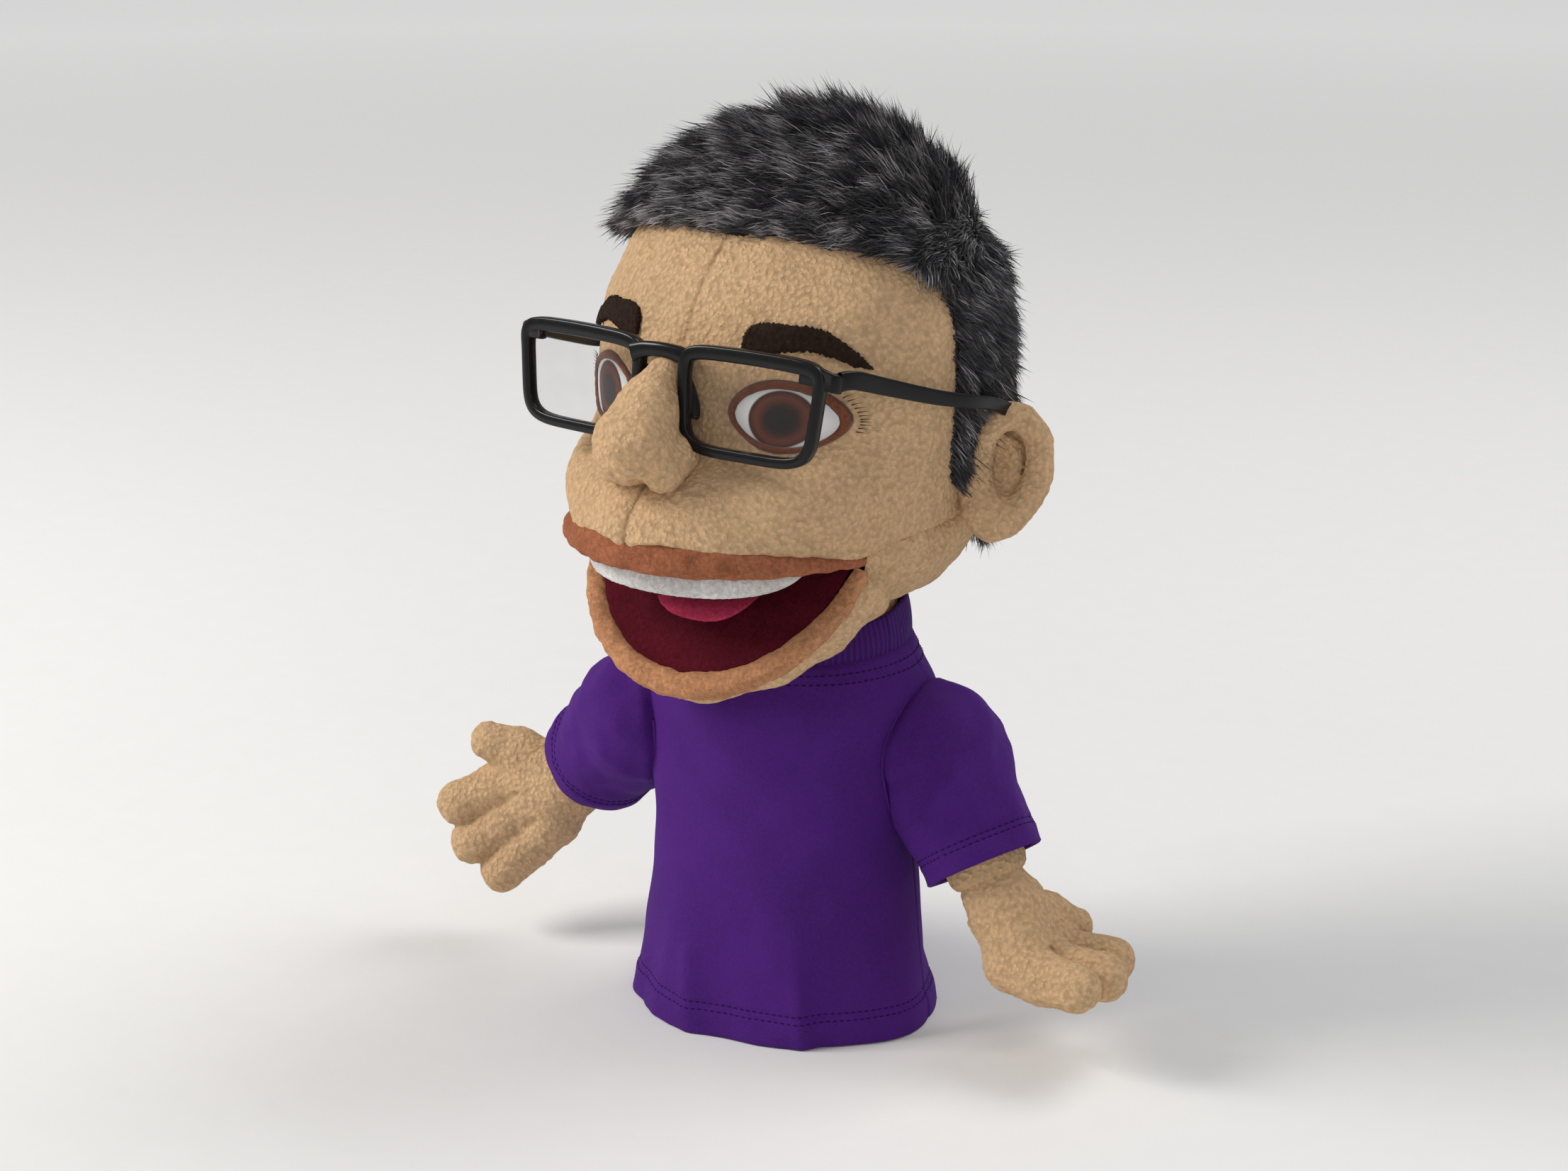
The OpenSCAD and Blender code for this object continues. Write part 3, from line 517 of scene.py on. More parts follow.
def fleece_finish(colour, name="fleece_skin", marked=False):
    """Short curly pile: soft cells, pulled about by noise, as nubs, with painted shade darkening the hollows between
    them.
    """
    f = Finish(name)
    pull = f.noise(620, 2, 0.5, output="Color")
    nubs = 1 - f.cells(590, f.shift(pull, 0.0013))
    fine = f.noise(2400, 3, 0.6)
    height = nubs * 0.8 + fine * 0.35
    patch = f.noise(22, 3)
    # painted shade: the colour darkens where the nubs' height is low, in the hollows between them
    base = f.mix(f.between(height, 0.45, 0.9), tone(colour, 0.72), tone(colour, 1.1))
    base = f.mix(f.between(patch, 0.35, 0.7), f.mix(1.0, base, (0.96, 0.94, 0.92), "MULTIPLY"), base)
    if marked:
        base = f.mix(f.mark("seam") * 0.55, base, tone(colour, 0.3))
    f.set(Base_Color=base, Roughness=f.between(fine, 0, 1, 0.82, 1.0), Normal=f.bump(height, 0.0023, 1.0))
    f.set(Specular_IOR_Level=0.15, Sheen_Weight=0.35, Sheen_Roughness=0.5, Sheen_Tint=tone(colour, 1.3)
        + (1,))
    return f.material


def jersey_finish(colour, name="purple_jersey", ribs=0):
    """Fine knit: fine uneven loops, lighter stray fibres, and upright ribs where asked, with painted shade in the
    ribs' grooves.
    """
    f = Finish(name)
    loops = f.noise(2300, 2, 0.6, f.stretch((1, 1, 1.7)))
    fibre = f.noise(900, 4, 0.7)
    worn = f.noise(28, 4)
    base = f.mix(f.between(fibre, 0.35, 0.75), tone(colour, 0.78), tone(colour, 1.25))
    base = f.mix(f.between(worn, 0.4, 0.75, 0, 0.4), base, tone(colour, 1.45))
    height = loops * 0.6 + fibre * 0.4
    if ribs:
        rib = f.add("ShaderNodeMath", {"operation": "SINE"}, {0: f.mark("round") * (ribs * TAU)})
        height = height * 0.5 + rib * 0.9
        # painted shade: the ribs' grooves, where the rib's height is low, are painted darker
        base = f.mix(f.between(rib, -1, 0.4), tone(colour, 0.55), base)
    f.set(Base_Color=base, Roughness=f.between(fibre, 0, 1, 0.72, 0.95), Normal=f.bump(height, 0.0007, 0.8))
    f.set(Specular_IOR_Level=0.2, Sheen_Weight=0.25, Sheen_Roughness=0.4, Sheen_Tint=tone(colour, 2.5) + (1,))
    return f.material


def felt_finish(name, colour, scale=1.0, depth=0.0005, light=1.25):
    """Pressed felt or short plush: matted noise at two scales, with lighter fibre ends."""
    f = Finish(name)
    pull = f.noise(420 * scale, 3, 0.6, output="Color")
    mat = f.noise(700 * scale, 5, 0.7, f.shift(pull, 0.004))
    cloud = f.noise(70 * scale, 3)
    base = f.mix(f.between(mat, 0.35, 0.7), tone(colour, 0.6), tone(colour, light))
    base = f.mix(f.between(cloud, 0.35, 0.7), f.mix(1.0, base, (0.8, 0.78, 0.76), "MULTIPLY"), base)
    f.set(Base_Color=base, Roughness=f.between(mat, 0, 1, 0.85, 1.0), Normal=f.bump(mat, depth, 0.9))
    f.set(Specular_IOR_Level=0.12, Sheen_Weight=0.4, Sheen_Roughness=0.5, Sheen_Tint=tone(colour, 1.5) + (1,))
    return f.material


def fur_finish(dark, light, name="wig_fur"):
    """Hair fibre: dark at the root, and pale towards the end on the strands whose mark is high."""
    f = Finish(name)
    along, shade = f.mark("along"), f.mark("shade")
    body = f.mix(shade, tone(dark, 0.4), tone(dark, 1.7))
    tip = f.between(along, 0.2, 0.95) * f.between(shade, 0.56, 0.84)
    base = f.mix(tip, body, light)
    f.set(Base_Color=base, Roughness=f.between(shade, 0, 1, 0.42, 0.6))
    f.set(Specular_IOR_Level=0.45, Sheen_Weight=0.15)
    return f.material


def eye_finish(white, iris):
    """Printed eye: a white ground with painted shade greying it towards its rim, a ringed iris with fine rays, and a
    dark pupil.
    """
    f = Finish("eye_print")
    away, round_, rim = f.mark("away"), f.mark("round"), f.mark("rim")
    rays = f.noise(5, 4, 0.7, f.add("ShaderNodeCombineXYZ", None,
        {0: f.add("ShaderNodeMath", {"operation": "COSINE"}, {0: round_}) * 2.5,
            1: f.add("ShaderNodeMath", {"operation": "SINE"}, {0: round_}) * 2.5, 2: away * 0.4}))
    ring = f.ramp(away, (0.0, (0.016, 0.011, 0.012)), (0.44, (0.02, 0.012, 0.011)), (0.55, tone(iris, 0.42)),
                  (0.78, iris), (0.93, tone(iris, 0.5)), (1.0, tone(iris, 0.25)))
    ring = f.mix(f.between(rays, 0.35, 0.7, 0, 0.5), ring, f.mix(1.0, ring, (0.55, 0.5, 0.5), "MULTIPLY"))
    # painted shade: the white greys towards the patch's rim
    ground = f.mix(f.between(rim, 0.6, 1.0, 0, 0.55), white, tone(white, 0.45))
    base = f.mix(f.between(away, 0.97, 1.03), ring, ground)
    weave = f.noise(1500, 2)
    f.set(Base_Color=base, Roughness=f.between(weave, 0, 1, 0.4, 0.55), Normal=f.bump(weave, 0.0002, 0.3))
    f.set(Specular_IOR_Level=0.35)
    return f.material


def lid_finish(colour):
    """Brown plush lid with a dark drawn line at its inner edge and round its top."""
    f = Finish("lid_plush")
    mat = f.noise(900, 4, 0.7)
    across = f.mark("across")
    base = f.mix(f.between(mat, 0.35, 0.7), tone(colour, 0.6), tone(colour, 1.2))
    line = f.between(across, 0.0, 0.2, 1, 0) + f.between(across, 0.72, 0.95)
    base = f.mix(line * 0.85, base, tone(colour, 0.16))
    f.set(Base_Color=base, Roughness=0.95, Normal=f.bump(mat, 0.0005, 0.8))
    f.set(Specular_IOR_Level=0.12, Sheen_Weight=0.3)
    return f.material


def plastic_finish():
    """Polished black acetate with faint waviness and fine handling marks."""
    f = Finish("black_acetate")
    worn = f.noise(260, 5, 0.7)
    base = f.mix(f.noise(40, 2), (0.004, 0.004, 0.005), (0.009, 0.008, 0.009))
    f.set(Base_Color=base, Roughness=f.between(worn, 0.35, 0.75, 0.16, 0.3),
        Normal=f.bump(f.noise(90, 2), 0.0002, 0.15))
    f.set(Specular_IOR_Level=0.22)
    return f.material


def lens_finish():
    """Clear plastic lens: nearly see-through, with a thin surface reflection."""
    f = Finish("clear_lens")
    haze = f.noise(120, 3)
    f.set(Base_Color=(0.03, 0.03, 0.03), Alpha=f.between(haze, 0.3, 0.7, 0.045, 0.07), Roughness=0.04)
    f.set(Specular_IOR_Level=0.8)
    return f.material


def steel_finish():
    f = Finish("screw_steel")
    worn = f.noise(900, 3)
    f.set(Base_Color=(0.55, 0.55, 0.56), Metallic=1.0, Roughness=f.between(worn, 0, 1, 0.25, 0.45))
    return f.material


def foam_finish():
    """Open cell foam: small pits in a cream ground, with painted shade darkening the pits."""
    f = Finish("stuffing_foam")
    pits = f.cells(700, soft=False)
    # painted shade: the colour darkens in the pits, where the bump's height is low
    base = f.mix(f.between(pits, 0.1, 0.6), (0.3, 0.24, 0.15), (0.75, 0.66, 0.48))
    f.set(Base_Color=base, Roughness=0.95, Normal=f.bump(pits, 0.001, 0.7))
    return f.material


def board_finish():
    """Grey fibre board with long pale fibres."""
    f = Finish("mouth_board")
    fibre = f.noise(500, 5, 0.7, f.stretch((1, 0.2, 1)))
    base = f.mix(fibre, (0.2, 0.17, 0.14), (0.42, 0.37, 0.31))
    f.set(Base_Color=base, Roughness=0.9, Normal=f.bump(fibre, 0.0003, 0.5))
    return f.material


# ---------- sizes and colours ----------
def size(name, about, value, low, high):
    return FloatProperty(name=name, description=about, default=value, min=low, max=high, subtype="DISTANCE",
        unit="LENGTH")


def colour(name, about, value):
    return FloatVectorProperty(name=name, description=about, default=value, min=0, max=1, size=3,
        subtype="COLOR")


class PuppetSizes(bpy.types.PropertyGroup):
    crown_hair: size("Crown hair", "Length of the hair on top", 0.019, 0.01, 0.04)
    side_hair: size("Side hair", "Length of the hair at the sides and back", 0.0135, 0.005, 0.03)
    lip_height: size("Lip height", "Height of the upper lip at its middle", 0.0135, 0.006, 0.02)
    shirt_fold: size("Shirt folds", "Depth of the shirt's folds", 0.0031, 0, 0.006)
    rim_width: size("Rim width", "Width of the spectacles' rim", 0.0038, 0.002, 0.006)
    skin_ripple: size("Skin unevenness", "How far the stuffed skin is uneven", 0.0006, 0, 0.002)
    strands: IntProperty(name="Strands", description="Strands in each of the six locks of fur", default=33000,
        min=2000, max=39000)


class PuppetColours(bpy.types.PropertyGroup):
    skin: colour("Skin", "Tan fleece", (0.8, 0.53, 0.3))
    shirt: colour("Shirt", "Purple jersey", (0.062, 0.009, 0.165))
    hair_dark: colour("Dark hair", "Ground colour of the fur", (0.02, 0.017, 0.022))
    hair_light: colour("Light hair", "Pale ends of the fur", (0.55, 0.52, 0.53))
    upper_lip: colour("Upper lip", "Red brown plush", (0.39, 0.14, 0.07))
    lower_lip: colour("Lower lip", "Orange brown plush", (0.56, 0.27, 0.135))
    lining: colour("Mouth lining", "Dark maroon felt", (0.085, 0.004, 0.012))
    tongue: colour("Tongue", "Rose felt", (0.5, 0.04, 0.1))
    teeth: colour("Teeth", "White felt", (0.82, 0.81, 0.8))
    brow: colour("Eyebrows", "Dark brown felt", (0.022, 0.012, 0.008))
    lid: colour("Eyelids", "Brown plush", (0.19, 0.06, 0.028))
    iris: colour("Iris", "Red brown print", (0.15, 0.042, 0.022))


def finish(name):
    """The named finish, made the first time that it is asked for."""
    if name not in FINISHES:
        c = bpy.context.scene.puppet_colours
        makers = {
            "skin": lambda: fleece_finish(tuple(c.skin)),
            "seamed_skin": lambda: fleece_finish(tuple(c.skin), "fleece_skin_seamed", True),
            "jersey": lambda: jersey_finish(tuple(c.shirt)),
            "rib": lambda: jersey_finish(tuple(c.shirt), "purple_rib", 110),
            "thread": lambda: felt_finish("purple_thread", tone(c.shirt, 0.45), 2, 0.0002),
            "fur": lambda: fur_finish(tuple(c.hair_dark), tuple(c.hair_light)),
            "scalp": lambda: felt_finish("fur_backing", tone(c.hair_dark, 0.8), 1, 0.001),
            "upper_lip": lambda: felt_finish("upper_lip_plush", tuple(c.upper_lip), 0.8, 0.0009),
            "lower_lip": lambda: felt_finish("lower_lip_plush", tuple(c.lower_lip), 0.8, 0.0009),
            "lining": lambda: felt_finish("maroon_felt", tuple(c.lining), 1, 0.0005, 1.5),
            "tongue": lambda: felt_finish("rose_felt", tuple(c.tongue)),
            "teeth": lambda: felt_finish("white_felt", tuple(c.teeth), 1, 0.0004, 1.08),
            "brow": lambda: felt_finish("brown_felt", tuple(c.brow), 1, 0.0007, 1.9),
            "lid": lambda: lid_finish(tuple(c.lid)),
            "eye": lambda: eye_finish(tone(c.teeth, 1.0), tuple(c.iris)),
            "plastic": plastic_finish, "lens": lens_finish, "steel": steel_finish,
            "foam": foam_finish, "board": board_finish}
        FINISHES[name] = makers[name]()
    return FINISHES[name]


# ---------- skin ----------
def front_angles(n):
    """Angles round the head from the back, right side, face, left side to the back, closest at the middle seam."""
    t = np.linspace(-1, 1, n + 1)[:-1]
    return np.pi * (0.35 * t + 0.65 * np.sign(t) * abs(t) ** 1.7)


def head_skin():
    """The head's fleece from the lip's edge and the cheek creases up, and down to the neck behind the ears."""
    front = front_angles(330)
    deg = abs(np.degrees(front))
    low = table(deg, (0, 202.5), (5, 205.5), (12, 206.5), (22, 205), (36, 200.5), (50, 197.5), (58, 196.5),
        (66, 197), (74, 200.5),
                (100, 202.5), (118, 202), (127, 190), (136, 172), (180, 170))
    k_low = row_of(HEAD, low)
    w = np.linspace(0, 1, 120)[:, None] ** 1.05
    k = k_low + (len(HEAD) - 1 - k_low) * w
    p = head_point(k, front + 0 * k)
    n = -grid_normals(p, True)
    n *= np.sign((n * (p - [0, 10, 250])).sum(-1, keepdims=True).mean())
    ripple_size = bpy.context.scene.puppet_sizes.skin_ripple / MM
    seam = np.exp(-(p[..., 0] / 0.75) ** 2) * (p[..., 1] < -15) * (0.45 + 0.55 * ease(266, 240, p[..., 2])
        + 0.3 * ease(268, 280, p[..., 2]))
    pucker = np.exp(-(p[..., 0] / 3.5) ** 2) * (p[..., 1] < -15)
    lift = ripple(p, 26, 3) * ripple_size + ripple(p, 3.4, 4) * 0.16 - seam * 0.9 - pucker * 0.5
    lift += pucker * 0.35 * np.cos(p[..., 2] * TAU / 4.2)
    for s in (1, -1):
        cheek = np.exp(-(((p - [s * 57, -48, 212]) / [17, 20, 12]) ** 2).sum(-1))
        under_eye = np.exp(-(((p - [s * 34, -62, 232]) / [18, 14, 5]) ** 2).sum(-1))
        lift += cheek * 3.2 - under_eye * 1.3
        lift -= 1.6 * groove(p, [s * 62, -36, 200], [s * 52, -56, 208], 3.5)
    p = p + n * lift[..., None]
    edge = p[0]
    tuck = [edge - n[0] * d + np.array([0, 0, h]) for d, h in ((5, 3), (3, 0.6), (1.1, -0.5))]
    p = np.concatenate([np.stack(tuck), p])
    seam = np.concatenate([np.zeros((3, len(front))), seam])
    m, c = p.shape[:2]
    points = np.concatenate([p.reshape(-1, 3), (p[-1].mean(0) + [0, 0, 0.6])[None]])
    cap = fan(m - 1, c, m * c)
    marks = {"seam": np.append(seam.ravel(), 0)}
    piece = make_piece("head_skin", points, [quads(m, c, round_columns=True), cap[:, ::-1]],
        finish("seamed_skin"), "head", marks=marks)
    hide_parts("face_panel_left", "face_panel_right", "head_foam")
    return piece


def jaw_skin():
    """Chin, jaw and lower cheeks: from the lower lip's edge, or the cheek crease, a cubic curve goes out, down and
    back to the neck."""
    u = np.linspace(-1, 1, 241)[None]
    v = np.linspace(0, 1, 60)[:, None]
    a = u * np.radians(128)
    lip = np.clip(a / np.radians(80) * np.radians(90), -np.pi / 2, np.pi / 2)
    start_lip = lower(np.stack([60.5 * np.sin(lip), -61.5 * np.cos(lip), -2.5 + 0 * lip], -1))
    crease_k = row_of(HEAD, np.full(a.shape, 201.0))
    behind = np.sign(a) * np.radians(64 + np.clip(abs(np.degrees(a)) - 76, 0, 99) * 64 / 52)
    crease = head_point(crease_k, behind) * [0.955, 0.955, 1] + [0, 0, 3]
    share = ease(75, 81, abs(np.degrees(a)))[..., None]
    p0 = start_lip * (1 - share) + crease * share
    ring = np.stack([np.sin(a), -np.cos(a), 0 * a], -1)
    p3 = NECK + ring * [40, 40, 0] + [0, 0, 1] * (166 + 3 * ease(0, 128, abs(np.degrees(a))))[..., None]
    down = np.array([0, 0.766, -0.643])
    out0 = (ring * 7 + down * 17) * (1 - share) + (ring * [9, 6, 0] + np.array([0, 0, -15])) * share
    p1, p2 = p0 + out0, p3 + ring * [13, 13, 0] + [0, 0, -5]
    p = p0 * (1 - v)[..., None] ** 3 + 3 * p1 * (v * (1 - v) ** 2)[..., None] + 3 * p2 * (v**2 * (1 - v))[...,
        None] + p3 * v[..., None] ** 3
    n = grid_normals(p)
    n *= np.sign((n * (p - [0, 0, 190])).sum())
    lift = ripple(p, 22, 8) * 0.8 + ripple(p, 3.4, 9) * 0.16
    for s in (1, -1):
        for i, (b, d) in enumerate((((66, -14, 186), 1.6), ((62, -8, 176), 1.2), ((67, 4, 193), 1.3))):
            lift -= d * groove(p, [s * 60, -31, 190 - 2 * i], [s * b[0], b[1], b[2]], 2.2)
        lift += 1.5 * groove(p, [s * 62, -22, 181], [s * 62, -2, 184], 6)
    lift -= np.exp(-(p[..., 0] / 0.8) ** 2) * 0.8
    p = p + n * lift[..., None]
    piece = make_piece("jaw_skin", p, quads(*p.shape[:2]), finish("seamed_skin"), inside=(0, 0, 190),
                       marks={"seam": np.exp(-(p[..., 0] / 0.7) ** 2) * 0.7})
    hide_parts("jaw_cover")
    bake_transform(piece)
    return piece


def neck_skin():
    """The neck's fleece: a tube whose radius rounds in at the top, as a ball does."""
    z = np.concatenate([np.linspace(132, 160, 22), 160 + 38 * np.sin(np.radians(np.linspace(3, 24, 12)))])
    r = np.where(z > 160, np.sqrt(np.maximum(38.6**2 - (z - 160) ** 2, 1)), 38.6)
    a = np.linspace(0, TAU, 181)[:-1]
    p = NECK + np.stack([r[:, None] * np.cos(a), r[:, None] * np.sin(a), z[:, None] + 0 * a], -1)
    n = unit(p - NECK - [0, 0, 150])
    p = p + n * (ripple(p, 3.4, 12) * 0.15)[..., None]
    inner = NECK + (p - NECK) * [0.9, 0.9, 1]
    p = np.concatenate([p, inner[::-1]])
    piece = make_piece("neck_skin", p, quads(*p.shape[:2], round_rows=True, round_columns=True),
        finish("skin"), "neck")
    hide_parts("neck_tube")


def nose():
    """Stuffed nose: a tip, two wings and a bridge joined softly, with a cleft between the nostrils."""
    def field(p):
        tip = chain_gap(p, [((0, -65, 265), (0, -78, 250), 6, 9.5), ((0, -78, 250), (0, -85, 240), 9, 13.4),
            ((0, -83, 241), (0, -86.5, 238.5), 13.4, 13.8)], 5)
        for s in (1, -1):
            tip = soft_union(tip, cone_gap(p, (s * 9.6, -83, 231), (s * 9.5, -74, 235), 8.2, 7.6), 1.8)
        low = soft_union(tip, cone_gap(p, (0, -78, 252), (0, -70, 228), 8, 8), 5)
        seam = 0.8 * np.exp(-(p[:, 0] / 0.8) ** 2) * (p[:, 2] < 232)
        cleft = 2.4 * groove(p, (4.6, -86, 224), (5.5, -92, 229), 2.3)
        return low + seam + cleft - ripple(p, 3.2, 21) * 0.18 - ripple(p, 13, 22) * 0.3

    points, faces = skin_of(field, (-24, -104, 216), (24, -50, 276), 1.1)
    piece = make_piece("nose_plush", points, faces, finish("skin"), "head")
    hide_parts("nose")


def ear(side):
    """Stuffed ear in its own plane: a rolled rim and lobe round a thinner cup, with an inner ridge."""
    out, up, face = np.array([0.78, 0.626, 0.0]), np.array([0.06, 0.05, 1.0]), np.array([0.62, -0.77, 0.1])
    base = np.array([77.5, 19.5, 219.0])
    rim = smooth_path([(-4, 9), (0, 16), (7, 21), (14, 19), (18, 11.5), (18, 1.5), (14, -8), (8, -15),
        (1, -18.5), (-5, -14)], 30)
    ridge = smooth_path([(0, 8), (4, 11), (8.5, 9.5), (10, 3), (8, -4), (3, -7)], 14)

    def field(p):
        q = (p * [side, 1, 1]) - base
        q = np.stack([q @ unit(out), q @ unit(up), q @ unit(face)], -1)
        r = np.interp(np.arange(30), [0, 8, 18, 27, 29], [4.4, 4.6, 4.9, 6.2, 5.2])
        bend = lambda e: (e - 8) ** 2 * 0.006
        d = chain_gap(q, [((*rim[i], bend(rim[i][0])), (*rim[i + 1], bend(rim[i + 1][0])), r[i],
            r[i + 1]) for i in range(0, 29)], 1.5)
        plate = np.sqrt(((q - [6, 0, -6.4]) / [14, 17, 1]) ** 2 @ np.array([1.0, 1.0, 0])) - 1
        slab = np.maximum(plate * 15, abs(q[:, 2] + 6.4) - 2.0)
        d = soft_union(d, slab, 2.5)
        d = soft_union(d, chain_gap(q, [((*ridge[i], -4), (*ridge[i + 1], -4), 2.2, 2.2) for i in range(13)],
            1), 2.5)
        d = soft_union(d, cone_gap(q, (-5, -7, -2), (-4, 8, -2.5), 6.6, 6), 3)
        d = soft_union(d, cone_gap(q, (0, -12, 0), (4, -13, 0), 6.6, 6), 3)
        return d - ripple(p, 3.2, 31) * 0.17 - ripple(p, 12, 32) * 0.25

    x = sorted((side * 64, side * 108))
    points, faces = skin_of(field, (x[0], -2, 186), (x[1], 50, 252), 1.15)
    piece = make_piece(f"ear_plush_{SIDE[side]}", points, faces, finish("skin"), "head")
    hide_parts(f"ear_{SIDE[side]}")


# ---------- face ----------
EYE = {"x": 38.8, "z": 247.2, "half": 15.6, "top": 10.4, "low": 10.2}


def eye_edge(t, grow):
    """The eye's outline at angle t, grown outwards: a width times the cosine, and a height times the sine's power."""
    c, s = np.cos(t), np.sin(t)
    tall = np.where(s > 0, EYE["top"], EYE["low"])
    return np.stack([(EYE["half"] + grow) * c, (tall + grow * 0.9) * np.sign(s) * abs(s) ** 1.15 - 1.2 * c],
        -1)


def on_face(side, flat, lift):
    """Flat places at an eye, put on the face and lifted off it along its normal."""
    x = side * (EYE["x"] + flat[..., 0])
    z = EYE["z"] + flat[..., 1]
    return face_point(x, z) + face_normal(x, z) * np.asarray(lift)[..., None]


def eye(side):
    """Printed eye patch, and a plush lid rolled round it."""
    t = np.linspace(0, TAU, 97)[:-1][None]
    r = np.linspace(0, 1, 40)[:, None]
    flat = eye_edge(t, 0.8) * r[..., None]
    lift = 1.25 - 0.5 * r**4 + 0 * t
    top = on_face(side, flat, lift)
    edge = on_face(side, flat[-1:], np.full(flat[-1:].shape[:2], 0.1))
    back = on_face(side, flat[::-1], np.full(flat.shape[:2], 0.1))
    p = np.concatenate([top, edge, back])
    iris = np.array([-0.6, -0.3])
    gap = np.concatenate([flat, flat[-1:], flat[::-1]]) - iris
    marks = {"away": np.linalg.norm(gap, axis=-1) / 10.2, "round": np.arctan2(gap[..., 1], gap[..., 0])
        + np.pi,
             "rim": np.concatenate([r + 0 * t, r[-1:] + 0 * t, r[::-1] + 0 * t])}
    patch = make_piece(f"eye_print_{SIDE[side]}", p, quads(*p.shape[:2], round_columns=True), finish("eye"),
        "head", marks=marks)
    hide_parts(f"eye_patch_{SIDE[side]}")
    w = np.linspace(0, 1, 12)[:, None]
    wide = 3.0 + 0.8 * np.sin(t) + 0.6 * np.clip(np.cos(t), 0, 1) ** 4
    flat = eye_edge(t, -0.3 + wide[0] * w)
    lift = 0.4 + 1.7 * np.sin(np.pi * np.clip(w, 0.02, 1)) ** 0.6 - 0.5 * w + 0 * t
    lift = lift + ripple(on_face(side, flat, 0 * lift), 2.2, 41) * 0.12
    top = on_face(side, flat, lift)
    back = on_face(side, flat[::-1], np.full(flat.shape[:2], -0.3))
    p = np.concatenate([top, back])
    lid = make_piece(f"lid_roll_{SIDE[side]}", p, quads(*p.shape[:2], round_rows=True, round_columns=True),
        finish("lid"), "head",
                     marks={"across": np.concatenate([w + 0 * t, w[::-1] + 0 * t])})
    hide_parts(f"eyelid_ring_{SIDE[side]}")
    lashes(side)


def lashes(side):
    """A few short dark threads at the outer corner: tapered strips that curve outwards."""
    a = np.radians(np.linspace(-18, 38, 11))
    root = on_face(side, eye_edge(a, 4.6), np.full(a.shape, 1.0))
    way = unit(root - on_face(side, eye_edge(a, 2.0), np.full(a.shape, 1.0)))
    normal = face_normal(root[:, 0], root[:, 2])
    t = np.linspace(0, 1, 5)[:, None]
    parts = []
    for i in range(len(a)):
        path = root[i] + way[i] * (t * 4.2) + normal[i] * (t**2 * 1.4)
        tube = sweep(path, np.broadcast_to(normal[i], path.shape), oval(0.22, 0.22, 5)[None]
            * (1.05 - t[..., None]))
        parts.append(capped(tube))
    make_piece(f"lashes_{SIDE[side]}", *joined(parts), finish("brow"), "head")


def eyebrow(side):
    """Felt eyebrow cut to a thick inner end and a tapered outer one, with a fuzzy edge."""
    corners = np.array([(-16.6, -4.5), (-16.2, 2), (-14.2, 4.8), (-10, 5.8), (0, 5.4), (8, 4.2), (13.5, 0.5),
        (19, -5), (22.5, -9.8),
                        (18, -8.6), (12, -5.2), (6, -3.2), (-2, -3.6), (-10, -4.8)], float)
    n = 224
    k = np.linspace(0, len(corners), n + 1)[:-1]
    i = k.astype(int)
    t = (k - i)[:, None]
    line = corners[i] * (1 - t) + corners[(i + 1) % len(corners)] * t
    line = sum(np.roll(line, s, 0) for s in range(-3, 4)) / 7
    rng = np.random.default_rng(51)
    middle = np.interp(line[:, 0], [-20, 0, 22], [0, 0.9, -8])
    centre = np.stack([np.clip(line[:, 0], -13.5, 19), middle], -1)
    line = line + unit(line - centre) * rng.normal(0, 0.22, (n, 1))
    r = np.linspace(0, 1, 14)[:, None, None]
    flat = centre * (1 - r) + line * r + [0.6, 26.2]
    lift = (1.9 - 0.9 * r[..., 0] ** 6) + ripple(np.concatenate([flat, flat[..., :1]], -1), 2.0, 52) * 0.14
    top = on_face(side, flat, lift)
    back = on_face(side, flat[::-1], np.full(flat.shape[:2], 0.1))
    p = np.concatenate([top, back])
    piece = make_piece(f"eyebrow_felt_{SIDE[side]}", p, quads(*p.shape[:2], round_columns=True),
        finish("brow"), "head")
    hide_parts(f"eyebrow_{SIDE[side]}")


# ---------- mouth ----------
def lip(name, frame_of, side_z, height, body, node, slot, colour_name):
    """Stuffed lip: an oval section carried round the mouth board's edge, taller at the middle."""
    s = np.radians(np.linspace(-88, 88, 150))
    thin = 0.5 + 0.5 * np.cos(s) ** 0.6
    path = np.stack([57.5 * np.sin(s), -58.5 * np.cos(s), side_z + 0 * s], -1)
    across = np.stack([np.sin(s), -np.cos(s), 0 * s], -1)
    n = 28
    a = np.arange(n) * TAU / n
    c, v = np.cos(a), np.sin(a)
    half = height(s)[:, None]
    bow = 0.0
    if side_z > 0:
        d = np.degrees(abs(s))[:, None]
        bow = (1.9 * np.exp(-((d - 9) / 6) ** 2) - 1.6 * np.exp(-(d / 3.2) ** 2)) * np.clip(v, 0, 1)
    tall = np.sign(v) * abs(v) ** 0.85 * half + bow
    wide = (4.9 * thin[:, None]) * np.sign(c) * abs(c) ** 0.8
    out = across[:, None] * wide[..., None]
    p = path[:, None] + out + np.array([0, 0, 1.0]) * tall[..., None]
    p = frame_of(p)
    n_ = unit(p - frame_of(path)[:, None])
    p = p + n_ * (ripple(p, 9, 61) * 0.35 + ripple(p, 2.2, 62) * 0.14)[..., None]
    points, faces = capped(p)
    piece = make_piece(name, points, faces, finish(colour_name), body)
    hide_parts(node)


